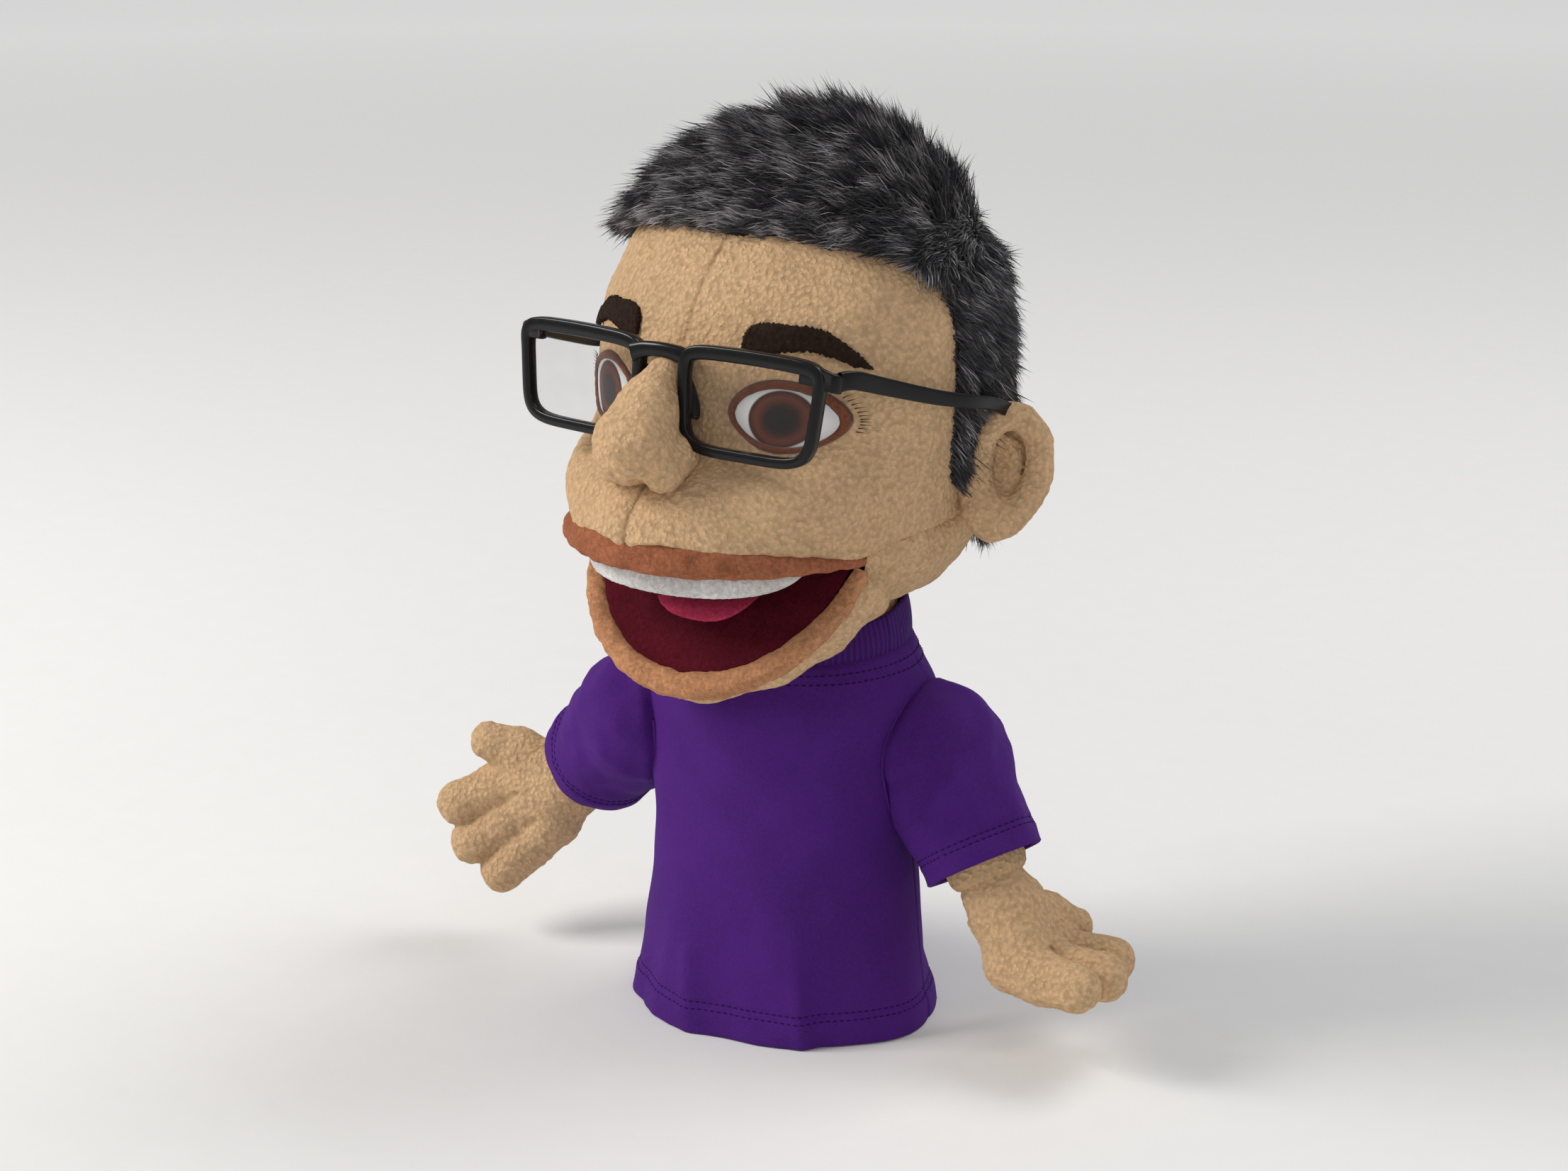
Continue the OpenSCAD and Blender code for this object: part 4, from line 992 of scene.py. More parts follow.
def board_sheet(name, frame_of, z, thick, grow, node, body, colour_name, dip=0.0):
    """Felt on a mouth board: the board's half oval as rings about its middle, a little hollow."""
    t = np.linspace(0, np.pi, 90)
    edge = np.stack([(52 + grow) * np.cos(t), -(53 + grow) * np.sin(t)], -1)
    back = np.stack([np.linspace(-52 - grow, 52 + grow, 40)[1:-1], np.full(38, -0.2)], -1)
    line = np.concatenate([edge, back])
    centre = np.array([0, -20.0])
    r = np.linspace(0, 1, 22)[:, None, None]
    flat = centre + (line - centre) * r
    hollow = dip * (1 - r[..., 0] ** 2)
    top = np.concatenate([flat, (z + thick * np.sign(z) - hollow * np.sign(z) + 0 * flat[..., 0])[..., None]],
        -1)
    top[..., 2] += ripple(top, 14, 71) * 0.3
    low = np.concatenate([flat[::-1], np.full(flat.shape[:2] + (1,), z * 0.2)], -1)
    p = frame_of(np.concatenate([top, low]))
    piece = make_piece(name, p, quads(*p.shape[:2], round_columns=True), finish(colour_name), body)
    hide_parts(node)


def teeth():
    """Felt teeth strip: hangs from the upper board's edge, deep at the middle, with a rounded lower edge."""
    s = np.radians(np.linspace(-66, 66, 120))
    deep = 10.5 * (1 - abs(s / s[-1]) ** 3.2) ** 0.6 + 0.6
    path = np.stack([50.3 * np.sin(s), -51.3 * np.cos(s)], -1)
    out = np.stack([np.sin(s), -np.cos(s)], -1)
    a = np.linspace(0, TAU, 25)[:-1]
    tall = np.sign(np.sin(a)) * abs(np.sin(a)) ** 0.6
    wide = 1.25 * np.sign(np.cos(a)) * abs(np.cos(a)) ** 0.6
    belly = 0.7 * np.cos(np.pi * tall / 2)
    p = np.concatenate([path[:, None] + out[:, None] * (wide + belly)[None, :, None],
                        (-1.0 - deep[:, None] * (1 - tall[None]) / 2)[..., None]], -1)
    p = upper(p)
    p = p + (ripple(p, 2.4, 81) * 0.1)[..., None]
    points, faces = capped(p)
    piece = make_piece("teeth_felt", points, faces, finish("teeth"), "head")
    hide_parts("teeth_strip")


def tongue():
    """Felt tongue on the lower board: a rounded flap with a shallow middle groove and raised tip."""
    t = np.linspace(0, TAU, 121)[:-1]
    c, s = np.cos(t), np.sin(t)
    line = np.stack([19.5 * np.sign(c) * abs(c) ** 0.75, -23 - 16.5 * np.sign(s) * abs(s) ** 0.8], -1)
    r = np.linspace(0, 1, 24)[:, None, None]
    flat = np.array([0, -23.0]) * (1 - r) + line * r
    x, y = flat[..., 0], flat[..., 1]
    flat = flat * [1.06, 1] + [7, 1.5]
    rise = 1.6 + 12.5 * ease(-4, -38, y) - 0.9 * np.exp(-(x / 2.2) ** 2) * ease(-2, -12, y) * ease(-42, -30,
        y)
    top = np.concatenate([flat, (rise + 2.6 * (1 - r[..., 0] ** 5))[..., None]], -1)
    low = np.concatenate([flat, (rise - 0.4)[..., None]], -1)[::-1]
    p = lower(np.concatenate([top, low]))
    p = p + (ripple(p, 2.4, 91) * 0.12)[..., None]
    piece = make_piece("tongue_felt", p, quads(*p.shape[:2], round_columns=True), finish("tongue"), "jaw")
    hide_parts("tongue")


# ---------- hair ----------
def hair_share(p):
    """1 where the head is under hair: above the hairline, behind the face's side edge, and off the ears' feet."""
    x, y, z = p[..., 0], p[..., 1], p[..., 2]
    line = table(y, (-60, 309), (-30, 306), (-8, 299), (1, 293), (3, 250), (5, 219), (15, 215), (19, 232),
        (34, 232), (40, 192), (60, 186))
    return z > line


def scalp():
    """Dark knitted backing of the fur, just outside the head's skin."""
    front = np.linspace(-np.pi, np.pi, 221)[:-1]
    k = np.linspace(2.4, len(HEAD) - 1.0, 130)[:, None]
    p = head_point(k, front + 0 * k)
    n = grid_normals(p, True)
    n *= np.sign((n * (p - [0, 10, 250])).sum())
    q = p + n * 1.1
    points = np.concatenate([q.reshape(-1, 3), (q[-1].mean(0) + [0, 0, 0.8])[None]])
    m, c = q.shape[:2]
    f = quads(m, c, round_columns=True)
    keep = hair_share(p).ravel()[f].all(1)
    cap = fan(m - 1, c, m * c)
    piece = make_piece("fur_backing", points, [f[keep], cap[:, ::-1]], finish("scalp"), "head",
        inside=(0, 10, 250))
    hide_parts("wig_crown", "wig_back")


def fur_lock(name, count, seed, part, length_top, length_side):
    """One lock of fur. Roots are drawn evenly over the area that part picks. A strand starts near the head's normal,
    turns towards the combed way, and its end is drawn towards the middle of its tuft."""
    rng = np.random.default_rng(seed)
    n = count * 14
    k = rng.uniform(2.6, len(HEAD) - 1.02, n)
    front = rng.uniform(-np.pi, np.pi, n)
    p = head_point(k, front)
    e = 0.01
    du = head_point(k + e, front) - head_point(k - e, front)
    dv = head_point(k, front + e) - head_point(k, front - e)
    cross = np.cross(du, dv)
    area = np.linalg.norm(cross, axis=1)
    normal = unit(cross) * np.sign((cross * (p - [0, 10, 250])).sum(1, keepdims=True))
    jitter = p + rng.normal(0, 0.9, p.shape) * [0.2, 0.6, 1]
    chance = area * hair_share(jitter) * part(p)
    pick = np.nonzero(rng.random(n) < chance / np.sort(chance)[-max(2, n // 400)])[0]
    pick = rng.permutation(pick)[:count]
    p, normal, n = p[pick], normal[pick], len(pick)
    x, y, z = p.T
    top = ease(282, 312, z) * ease(74, 46, y)
    comb_top = np.array([-0.62, -0.66, 0.12])
    comb_side = np.stack([0.1 * np.sign(x), 0.45 + 0 * x, -0.85 + 0 * x], -1)
    comb = comb_top * top[:, None] + comb_side * (1 - top)[:, None]
    comb = unit(comb - normal * (comb * normal).sum(1, keepdims=True) * 0.8)
    length = length_side + (length_top - length_side) * top
    length = length * (1 - 0.45 * ease(-20, -45, y) * ease(318, 306, z))
    length = length * np.where(rng.random(n) < 0.04, 1.28, rng.uniform(0.72, 1.08, n))
    length = length * (0.75 + 0.25 * ease(3, 14, y + 20 * (z > 296)))
    cell = np.where(top > 0.5, 6.2, 4.2)
    keys = np.floor((p + rng.normal(0, 0.8, p.shape)) / cell[:, None]).astype(int)
    _, tuft = np.unique(keys, axis=0, return_inverse=True)
    tuft = tuft.ravel()
    size_of = np.bincount(tuft)
    middle = np.stack([np.bincount(tuft, p[:, i]) for i in range(3)], -1) / size_of[:, None]
    lean = rng.normal(0, 0.27, (len(size_of), 3))[tuft]
    tuft_shade = rng.random(len(size_of))[tuft]
    rise = (0.62 + 0.2 * top)[:, None]
    way0 = unit(normal * rise + comb * 0.62 + rng.normal(0, 0.12, p.shape))
    way1 = unit(normal * 0.3 + comb + lean + rng.normal(0, 0.16, p.shape) - [0, 0, 0.1])
    t = np.array([0, 0.34, 0.7, 1.0])[:, None, None]
    path = p - normal * 0.4 + length[:, None] * ((t - t * t / 2) * way0 + t * t / 2 * way1)
    path = path + (middle[tuft] - p) * 0.5 * t**1.5
    along = unit(path[1:] - path[:-1])
    side = unit(np.cross(along[1], rng.normal(size=p.shape)))
    width = np.array([0.26, 0.24, 0.15])[:, None, None] * rng.uniform(0.8, 1.3, (n, 1))
    left, right = path[:3] - side * width, path[:3] + side * width
    points = np.concatenate([left, right, path[3:]])
    i = np.arange(n)
    at = lambda row: i + row * n
    body = [np.stack([at(j), at(j + 3), at(j + 4), at(j + 1)], -1) for j in (0, 1)]
    end = np.stack([at(2), at(5), at(6)], -1)
    shade = 0.5 * tuft_shade + 0.5 * rng.random(n)
    shade = shade * (0.86 + 0.14 * top) + 0.14 * ease(-5, -35, y) * top
    marks = {"along": np.repeat([0, 0.34, 0.7, 0, 0.34, 0.7, 1.0], n), "shade": np.tile(shade, 7)}
    piece = make_piece(name, points, [*body, end], finish("fur"), "head", inside=(0, 10, 250), marks=marks)


# ---------- spectacles ----------
def front_place(side, p):
    """From the spectacle front's plane, x outwards, y up and z forwards, to the puppet's directions."""
    q = np.asarray(p, float) * [side, 1, 1]
    q = q @ turn("X", 90).T @ turn("Z", side * 4).T @ turn("X", -6).T
    return q + [0, -70, 273]


def rim_line(n, inset=0.0):
    """Rounded box line of a rim, narrower towards the bottom, as points at even angles with power corners."""
    a = np.linspace(0, TAU, n + 1)[:-1]
    c, s = np.cos(a), np.sin(a)
    q = 5.0 + 3 * (s > 0)
    r = (abs(c) ** q + abs(s) ** q) ** (-1 / q)
    x, y = c * r * (29 - inset), s * r * (19 - inset)
    x = x * (1 + 0.055 * y / 19) + 0.6 * (y / 19)
    return np.stack([x + 37.5, y - 19 + 0.7 * np.sin(np.pi * (x + 29) / 58) * (y > 0)], -1)


def spectacles():
    """Front with two rims, bridge, nose rests and end pieces, each a boxy section carried along its line."""
    half = bpy.context.scene.puppet_sizes.rim_width / MM / 2
    parts = []
    for s in (1, -1):
        n = 160
        line = rim_line(n, 2.1)
        path = np.concatenate([line, np.zeros((n, 1))], -1)
        ahead = unit(np.roll(path, -1, 0) - np.roll(path, 1, 0))
        out = np.stack([ahead[:, 1], -ahead[:, 0], 0 * ahead[:, 0]], -1)
        thick = half * (1 + 0.35 * ease(-12, -2, line[:, 1]))
        prof = oval(1.0, 2.2, 16, 0.34)
        ring = path[:, None] + out[:, None] * (prof[None, :, :1]
            * thick[:, None, None]) + np.array([0, 0, 1.0]) * prof[None, :, 1:]
        parts.append((front_place(s, ring), [quads(n, 16, round_rows=True, round_columns=True)[:, ::s]]))
        corner = smooth_path([(58, -4.2, 0.2), (64.5, -4.6, 0.0), (68.4, -6.2, -2.2), (69.2, -6.9, -5.6)], 16)
        tube = sweep(corner, np.broadcast_to([0, 1.0, 0], corner.shape), oval(3.3, 1.9, 16, 0.4))
        parts.append(capped(front_place(s, tube)))
        rest = smooth_path([(8.8, -10, -2), (9.4, -16, -4.2), (11.5, -22.5, -4.6), (13.6, -26, -3.2)], 16)
        grow = np.sin(np.linspace(0.25, np.pi - 0.35, 16)) ** 0.7
        tube = sweep(rest, np.broadcast_to([1.0, 0.2, 0.4], rest.shape), oval(1.5, 2.7, 14, 0.8)[None]
            * grow[:, None, None])
        parts.append(capped(front_place(s, tube)))
    over = smooth_path([(-12, -5.6, 0), (-7, -3.9, 0.2), (0, -3.2, 0.5), (7, -3.9, 0.2), (12, -5.6, 0)], 40)
    tall = 2.6 + 0.8 * (abs(over[:, 0]) / 12) ** 2
    tube = sweep(over, np.broadcast_to([0, 1.0, 0], over.shape), oval(1.0, 1.0, 16, 0.6)[None]
        * np.stack([tall, 0 * tall + 2.0], -1)[:, None])
    parts.append(capped(front_place(1, tube)))
    checked = []
    for p, fs in parts:
        p = p.reshape(-1, 3)
        volume = sum(np.einsum("ij,ij->i", p[f[:, 0]], np.cross(p[f[:, 1]], p[f[:, 2]])).sum() for f in fs)
        volume += sum(np.einsum("ij,ij->i", p[f[:, 0]], np.cross(p[f[:, 2]],
            p[f[:, 3]])).sum() for f in fs if f.shape[1] == 4)
        checked.append((p, [f[:, ::-1] for f in fs] if volume < 0 else fs))
    piece = make_piece("spectacle_front_polished", *joined(checked), finish("plastic"), "spectacles")
    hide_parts("spectacle_front")
    for s in (1, -1):
        path = smooth_path([(69.2, -60.4, 266), (71, -54, 265.6), (73.8, -38, 260.5), (78.5, -16, 253.6),
            (82, 0, 249.6), (82.2, 14, 246), (82, 25, 241.4), (81.8, 33.5, 237.2)], 70) * [s, 1, 1]
        t = np.linspace(0, 1, 70)
        tall = 3.3 - 0.8 * ease(0.1, 0.6, t) + 0.5 * ease(0.72, 0.92, t)
        tall[-4:] *= [0.95, 0.85, 0.65, 0.4]
        thick = 1.45 - 0.2 * ease(0.0, 0.5, t)
        tube = sweep(path, np.broadcast_to([0, 0.2, 1.0], path.shape), oval(1.0, 1.0, 16, 0.4)[None]
            * np.stack([tall, thick], -1)[:, None])
        arm = make_piece(f"temple_polished_{SIDE[s]}", *capped(tube), finish("plastic"), f"temple_{SIDE[s]}")
        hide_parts(f"temple_{SIDE[s]}")


# ---------- shirt ----------
def shirt_lift(p):
    """Folds of the shirt's body at a point: drag lines from the armpits, a soft crease down the left front, slack
    above the hem and slow unevenness."""
    depth = bpy.context.scene.puppet_sizes.shirt_fold / MM
    z = p[..., 2]
    lift = ripple(p, 46, 101) * 0.45 + ripple(p, 21, 102) * 0.16
    lift = lift + 0.5 * np.cos(np.arctan2(p[..., 1], p[..., 0]) * 7 + 0.6) * ease(60, 0, z)
    lines = [((50, -24, 92), (30, -38, 70), 3.2, 1.3), ((52, -22, 84), (33, -36, 52), 3.0, -1.4),
        ((56, -18, 78), (42, -28, 34), 3.0, 1.2),
             ((50, -22, 104), (22, -38, 98), 3.4, -0.9), ((30, -36, 46), (34, -34, 2), 4, 1.0),
                 ((-12, -44, 30), (-8, -45, 0), 4.5, 0.9),
             ((-40, -42, 24), (-44, -40, 0), 4, -0.9), ((64, -8, 100), (38, -33, 74), 5, -0.9),
                 ((66, -6, 92), (44, -28, 46), 5, 0.8), ((62, -12, 84), (40, -32, 30), 4, -0.6),
             ((44, -26, 118), (26, -36, 92), 6, 0.55), ((-56, -34, 96), (-30, -42, 78), 5, -0.8),
                 ((-58, -30, 88), (-36, -42, 56), 5, 0.7),
             ((-40, -40, 118), (-14, -42, 100), 6, -0.5), ((52, 36, 96), (22, 44, 70), 5, -0.7),
                 ((-48, 22, 96), (-20, 38, 72), 5, -0.7),
             ((10, -42, 60), (22, -40, 8), 6, -0.45), ((-22, -44, 44), (-30, -44, 4), 6, 0.5)]
    for a, b, width, amount in lines:
        lift = lift + groove(p, a, b, width) * amount
    return lift * depth / 1.6


def shirt_body():
    """Front and back of the shirt with side seams, its hem turned in, and its top edge under the collar."""
    a = np.linspace(0, TAU, 289)[:-1][None]
    z = np.concatenate([np.linspace(1.0, 22, 24), np.linspace(23, 148, 96)])[:, None]
    p = body_point(z, a)
    n = unit(p - (NECK * [0, 0.4, 0] + [0, 0, 1] * z[..., None])) * [1, 1, 0.3]
    n = unit(n)
    seam = np.exp(-((np.sin(a)) / 0.011) ** 2) * (z < 108) + 0 * z
    shoulder = np.exp(-(np.sin(a) / 0.02) ** 2) * (z > 126)
    lift = shirt_lift(p) - 0.8 * seam - 0.6 * shoulder
    lift = lift * ease(150, 138, z) - 0.35 * np.exp(-((z - 12.5) / 0.7) ** 2) - 0.3 * np.exp(-((z
        - 10.4) / 0.6) ** 2)
    lift += 0.5 * ease(12, 9, z) + ripple(p, 9, 105) * 0.18 * ease(16, 8, z)
    p = p + n * lift[..., None]
    turned = [p[i] - unit(p[i] * [1, 1, 0]) * d + np.array([0, 0, h]) for i, d, h in
              ((12, 1.6, 0), (5, 1.7, 0), (0, 1.6, -0.1), (0, 0.8, -0.7), (0, 0.1, -0.5))]
    p = np.concatenate([np.stack(turned), p])
    piece = make_piece("shirt_body", p, quads(*p.shape[:2], round_columns=True), finish("jersey"), "torso",
        inside=(0, 0, 80))
    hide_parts("shirt_front", "shirt_back")
    parts = []
    for level in (12.8, 9.9):
        i = np.argmin(abs(z[:, 0] - level)) + 5
        ring = np.concatenate([p[i], p[i][:1]])
        up = np.concatenate([n[i - 5], n[i - 5][:1]])
        parts.append(stitches(ring, up))
    hem = make_piece("hem_stitching", *joined(parts), finish("thread"), "torso")


def collar():
    """Ribbed collar: a soft flat band round the neck whose height grows towards the back, with its topstitching."""
    a = np.linspace(0, TAU, 241)[:-1]
    back = (1 + np.sin(a)) / 2
    tall = 9.5 + 8.6 * back
    t = np.linspace(0, 1, 14)[:, None]
    radius = 42.2 + 1.9 * (1 - t) + 0.8 * np.sin(np.pi * t) + 0 * a
    z = 145.6 + tall * t
    place = lambda r, h: NECK + np.stack([r * np.cos(a), r * np.sin(a), h + 0 * r], -1)
    outer = place(radius, z)
    roll = place(radius[-1:] - 0.9, z[-1:] + 0.7)
    inner = place(np.full_like(radius[::-1], 40.6), z[::-1] + 0.1)
    p = np.concatenate([outer, roll, inner])
    p = p + unit((p - NECK) * [1, 1, 0]) * (ripple(p, 17, 111) * 0.35)[..., None]
    marks = {"round": np.tile(a / TAU, len(p))}
    piece = make_piece("collar_knit", p, quads(*p.shape[:2], round_rows=True, round_columns=True),
        finish("rib"), "torso", marks=marks)
    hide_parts("collar_rib")
    parts = []
    for height in (142.6, 139.4):
        at = np.linspace(0, TAU, 241)
        line = body_point(np.full(at.shape, height), at)
        n = unit((line - NECK) * [1, 1, 0] + [0, 0, 12])
        line = line + n * (shirt_lift(line) * ease(150, 138, height))[:, None]
        parts.append(stitches(line, n, 2.7, 1.7, 0.3))
    seam = make_piece("collar_stitching", *joined(parts), finish("thread"), "torso")


def arm_axes(side):
    """The arm's own directions: down the arm, and two across it."""
    down = unit(WRIST[side] - SHOULDER[side])
    fore = unit(np.cross(down, [side, 0, 0.2]))
    return down, fore, np.cross(down, fore)


def arm_place(side, t, r, angle):
    """Point t down the arm from the shoulder's centre, r away from its axis."""
    t, r, angle = np.broadcast_arrays(t, r, angle)
    down, e1, e2 = arm_axes(side)
    return SHOULDER[side] + down * t[..., None] + r[..., None] * (np.cos(angle)[..., None] * e1
        + np.sin(angle)[..., None] * e2)


def sleeve_radius(t):
    """The sleeve's radius: a ball at the shoulder, then a cone that narrows to the hem."""
    ball = np.sqrt(np.maximum(26.2**2 - np.minimum(t, 6) ** 2, 0.01))
    cone = np.interp(t, [5, 44], [25.6, 22.3])
    return np.where(t < 5, ball, cone)


def sleeve(side):
    """Short sleeve: set in at the armhole, with drag folds and a turned and stitched hem."""
    angle = np.linspace(0, TAU, 161)[:-1][None]
    t = np.concatenate([-26 * np.cos(np.linspace(0.12, np.pi / 2, 20)), np.linspace(1.2, 45.5, 62)])[:, None]
    r = sleeve_radius(t) + 0 * angle
    p = arm_place(side, t + 0 * angle, r, angle)
    n = unit(p - arm_place(side, np.clip(t, 0, 99) + 0 * angle, 0 * r, angle))
    down = arm_axes(side)[0]
    lift = ripple(p, 19, 120 + side) * 0.8 + ripple(p, 9, 130 + side) * 0.22
    lift = lift + 1.0 * np.cos(angle * 3 + t * 0.12 + side) * ease(4, 26, t) * ease(50, 30, t)
    lift = lift + 0.8 * np.cos(angle * 5 - t * 0.3 + 2) * ease(0, 12, t) * ease(34, 16, t) * (1
        + np.cos(angle + 1)) / 2
    gap = body_depth(p) * 45
    lift = lift + 0.7 * np.exp(-((gap - 3.4) / 2.2) ** 2) - 0.7 * np.exp(-((gap - 0.6) / 0.8) ** 2)
    lift += -0.35 * np.exp(-((t - 36.0) / 0.6) ** 2) - 0.3 * np.exp(-((t
        - 38.2) / 0.5) ** 2) + 0.45 * ease(37, 39, t)
    p = p + n * lift[..., None]
    inner = arm_place(side, np.array([[45.4], [42], [30]]) + 0 * angle, np.array([[20.6], [20.6], [20.9]])
        + 0 * angle, angle)
    roll = p[-1:] - n[-1:] * 0.7 + down * 0.5
    full = np.concatenate([p, roll, inner])
    points = np.concatenate([full.reshape(-1, 3), (SHOULDER[side] - down * 25.9)[None]])
    m, c = full.shape[:2]
    cap = fan(0, c, m * c)
    piece = make_piece(f"sleeve_knit_{SIDE[side]}", points, [quads(m, c, round_columns=True)[:, ::-1], cap],
        finish("jersey"), inside=SHOULDER[side])
    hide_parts(f"sleeve_{SIDE[side]}")
    torso_end, arm_end = SHOULDER[side] - down * 2, SHOULDER[side] + down * 24
    tuple(torso_end * MM)
    tuple(arm_end * MM)
    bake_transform(piece)
    parts = []
    for level in (36.0, 38.4):
        i = np.argmin(abs(t[:, 0] - level))
        parts.append(stitches(np.concatenate([p[i], p[i][:1]]), np.concatenate([n[i], n[i][:1]])))
    hem = make_piece(f"sleeve_stitching_{SIDE[side]}", *joined(parts), finish("thread"), f"arm_{SIDE[side]}")
    armhole_welt(side)


def armhole_welt(side):
    """Thin welt where the sleeve meets the shirt's body: on each line down the sleeve, the first place outside."""
    angle = np.linspace(0, TAU, 181)[:-1]
    t = np.linspace(-22, 44, 400)[:, None]
    p = arm_place(side, t + 0 * angle, sleeve_radius(t) + 0 * angle, angle + 0 * t)
    out = body_depth(p) > 0
    first = np.where(out.any(0), out.argmax(0), -1)
    good = (first > 0) & (first < 399)
    line = p[np.maximum(first, 0), np.arange(len(angle))]
    start = np.argmax(~good & np.roll(good, -1)) + 1 if (~good).any() else 0
    order = np.roll(np.arange(len(angle)), -start)
    order = order[good[order]]
    line = line[order]
    for _ in range(4):
        line[1:-1] = (line[:-2] + 2 * line[1:-1] + line[2:]) / 4
    if len(line) < 8:
        return
    centre = SHOULDER[side] * [0.6, 0.6, 1]
    tube = sweep(line, unit(line - centre), oval(0.55, 0.7, 8))
    piece = make_piece(f"armhole_seam_{SIDE[side]}", *capped(tube), finish("jersey"), "torso")


# ---------- arms and hands ----------
def arm(side):
    """Fleece arm: a stuffed tube from inside the sleeve that narrows to the wrist seam and closes there."""
    angle = np.linspace(0, TAU, 121)[:-1][None]
    t = np.concatenate([np.linspace(6, 50, 44), [51.5, 52.6, 53.4, 53.9]])[:, None]
    r = np.interp(t, [6, 20, 34, 44, 50, 51.5, 52.6, 53.4, 53.9],
        [16.5, 17.4, 16.4, 15.6, 14.6, 13.6, 11.6, 8.8, 4.0])
    p = arm_place(side, t + 0 * angle, r + 0 * angle, angle)
    n = unit(p - arm_place(side, t + 0 * angle, 0 * r + 0 * angle, angle))
    lift = ripple(p, 16, 140) * 0.5 + ripple(p, 3.3, 141) * 0.17 - 0.4 * np.exp(-((t - 43) / 1.6) ** 2) * (1
        + np.cos(angle * 2)) / 2
    p = p + n * lift[..., None]
    piece = make_piece(f"arm_fleece_{SIDE[side]}", *capped(p), finish("skin"), f"arm_{SIDE[side]}")
    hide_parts(f"arm_{SIDE[side]}")


def hand(side, angles, curl):
    """Stuffed mitt: heel, palm, thumb and three fingers joined softly, with sewn channels between the fingers."""
    spin = turn("Z", angles[2]) @ turn("Y", angles[1]) @ turn("X", angles[0])
    bend = turn("X", -curl)
    fingers = []
    for i in (-1, 0, 1):
        root = np.array([i * 12.2, 0, -30]) + bend @ np.array([0, 0, 4.0])
        knuckle = np.array([0, 0, -30]) + bend @ np.array([i * 13.2, 0.0, -9])
        tip = np.array([0, 0, -30]) + bend @ np.array([i * 16.2, -2.0, -24 - (4 if i == 0 else 0)])
        fingers.append((root, knuckle, tip))

    def field(p):
        q = (p - WRIST[side]) @ spin
        q = q * [-1, 1, 1] if side > 0 else q
        palm = chain_gap(q, [((0, 0, 0), (0, 0, -6), 13.4, 14.0), ((-6.5, 0, -20), (8, 0, -22), 12.4, 11.6),
                             ((0, 0, -8), (0, 0, -24), 13.6, 12.0)], 6)
        d = None
        for root, knuckle, tip in fingers:
            f = soft_union(cone_gap(q, root, knuckle, 9.6, 9.5), cone_gap(q, knuckle, tip, 9.5, 9.0), 3)
            d = f if d is None else soft_union(d, f, 1.3)
        d = soft_union(palm, d, 5)
        thumb = chain_gap(q, [((-9, -1, -12), (-20, -2.5, -19), 9, 8.6),
            ((-20, -2.5, -19), (-30.5, -4.5, -27.5), 8.6, 7.7)], 3)
        d = soft_union(d, thumb, 4.5)
        for s in (-1, 1):
            a = np.array([s * 6.4, -10.5, -27.0])
            b = np.array([0, 0, -30]) + bend @ np.array([s * 8.6, -9.0, -26])
            c = np.array([0, 0, -30]) + bend @ np.array([s * 8.6, 9.0, -26])
            e = np.array([s * 6.2, 10.5, -26.0])
            d = d + 1.5 * groove(q, a, b, 1.5) + 1.5 * groove(q, e, c, 1.5)
        d = d + 0.9 * np.exp(-((np.linalg.norm(q, axis=1) - 14.2) / 1.6) ** 2) * (q[:, 2] > -12)
        d = d + 0.8 * groove(q, (-13, -9, -12), (-4, -12, -22), 1.8) + 0.7 * groove(q, (-8, 9, -6),
            (8, 10, -7), 1.8)
        return d - ripple(p, 3.3, 150) * 0.18 - ripple(p, 14, 151 + side) * 0.3

    centre = WRIST[side] + spin @ np.array([-side * 6.0, 0, -24])
    reach = 46
    points, faces = skin_of(field, centre - reach, centre + reach, 1.15)
    piece = make_piece(f"hand_fleece_{SIDE[side]}", points, faces, finish("skin"), f"hand_{SIDE[side]}")
    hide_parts(f"hand_{SIDE[side]}")


# ---------- operators ----------
class PUPPET_OT_skin(bpy.types.Operator):
    """Build the fleece of the head, jaw and neck"""
    bl_idname = "puppet.skin"
    bl_label = "Head, Jaw and Neck Skin"

    def execute(self, context):
        head_skin()
        jaw_skin()
        neck_skin()
        return {"FINISHED"}


class PUPPET_OT_nose_and_ears(bpy.types.Operator):
    """Build the stuffed nose and ears"""
    bl_idname = "puppet.nose_and_ears"
    bl_label = "Nose and Ears"

    def execute(self, context):
        nose()
        ear(1)
        ear(-1)
        return {"FINISHED"}


class PUPPET_OT_eyes(bpy.types.Operator):
    """Build the printed eyes, lids, lashes and eyebrows"""
    bl_idname = "puppet.eyes"
    bl_label = "Eyes and Eyebrows"

    def execute(self, context):
        for side in (1, -1):
            eye(side)
            eyebrow(side)
        return {"FINISHED"}


class PUPPET_OT_mouth(bpy.types.Operator):
    """Build the lips, felt linings, teeth and tongue"""
    bl_idname = "puppet.mouth"
    bl_label = "Mouth"

    def execute(self, context):
        tall = context.scene.puppet_sizes.lip_height / MM / 2
        lip("upper_lip_roll", upper, 2.6, lambda s: tall * (0.3 + 0.7 * np.cos(s) ** 1.5), "head",
            "upper_lip", "lip_plush", "upper_lip")
        lip("lower_lip_roll", lower, -0.6, lambda s: 4.3 * (0.6 + 0.4 * np.cos(s) ** 0.7), "jaw", "lower_lip",
            "lip_plush", "lower_lip")
        board_sheet("upper_lining", upper, -0.2, 1.2, 1.5, "upper_mouth_lining", "head", "lining")
        board_sheet("lower_lining", lower, 0.2, 1.2, 1.5, "lower_mouth_lining", "jaw", "lining")
        teeth()
        tongue()
        return {"FINISHED"}


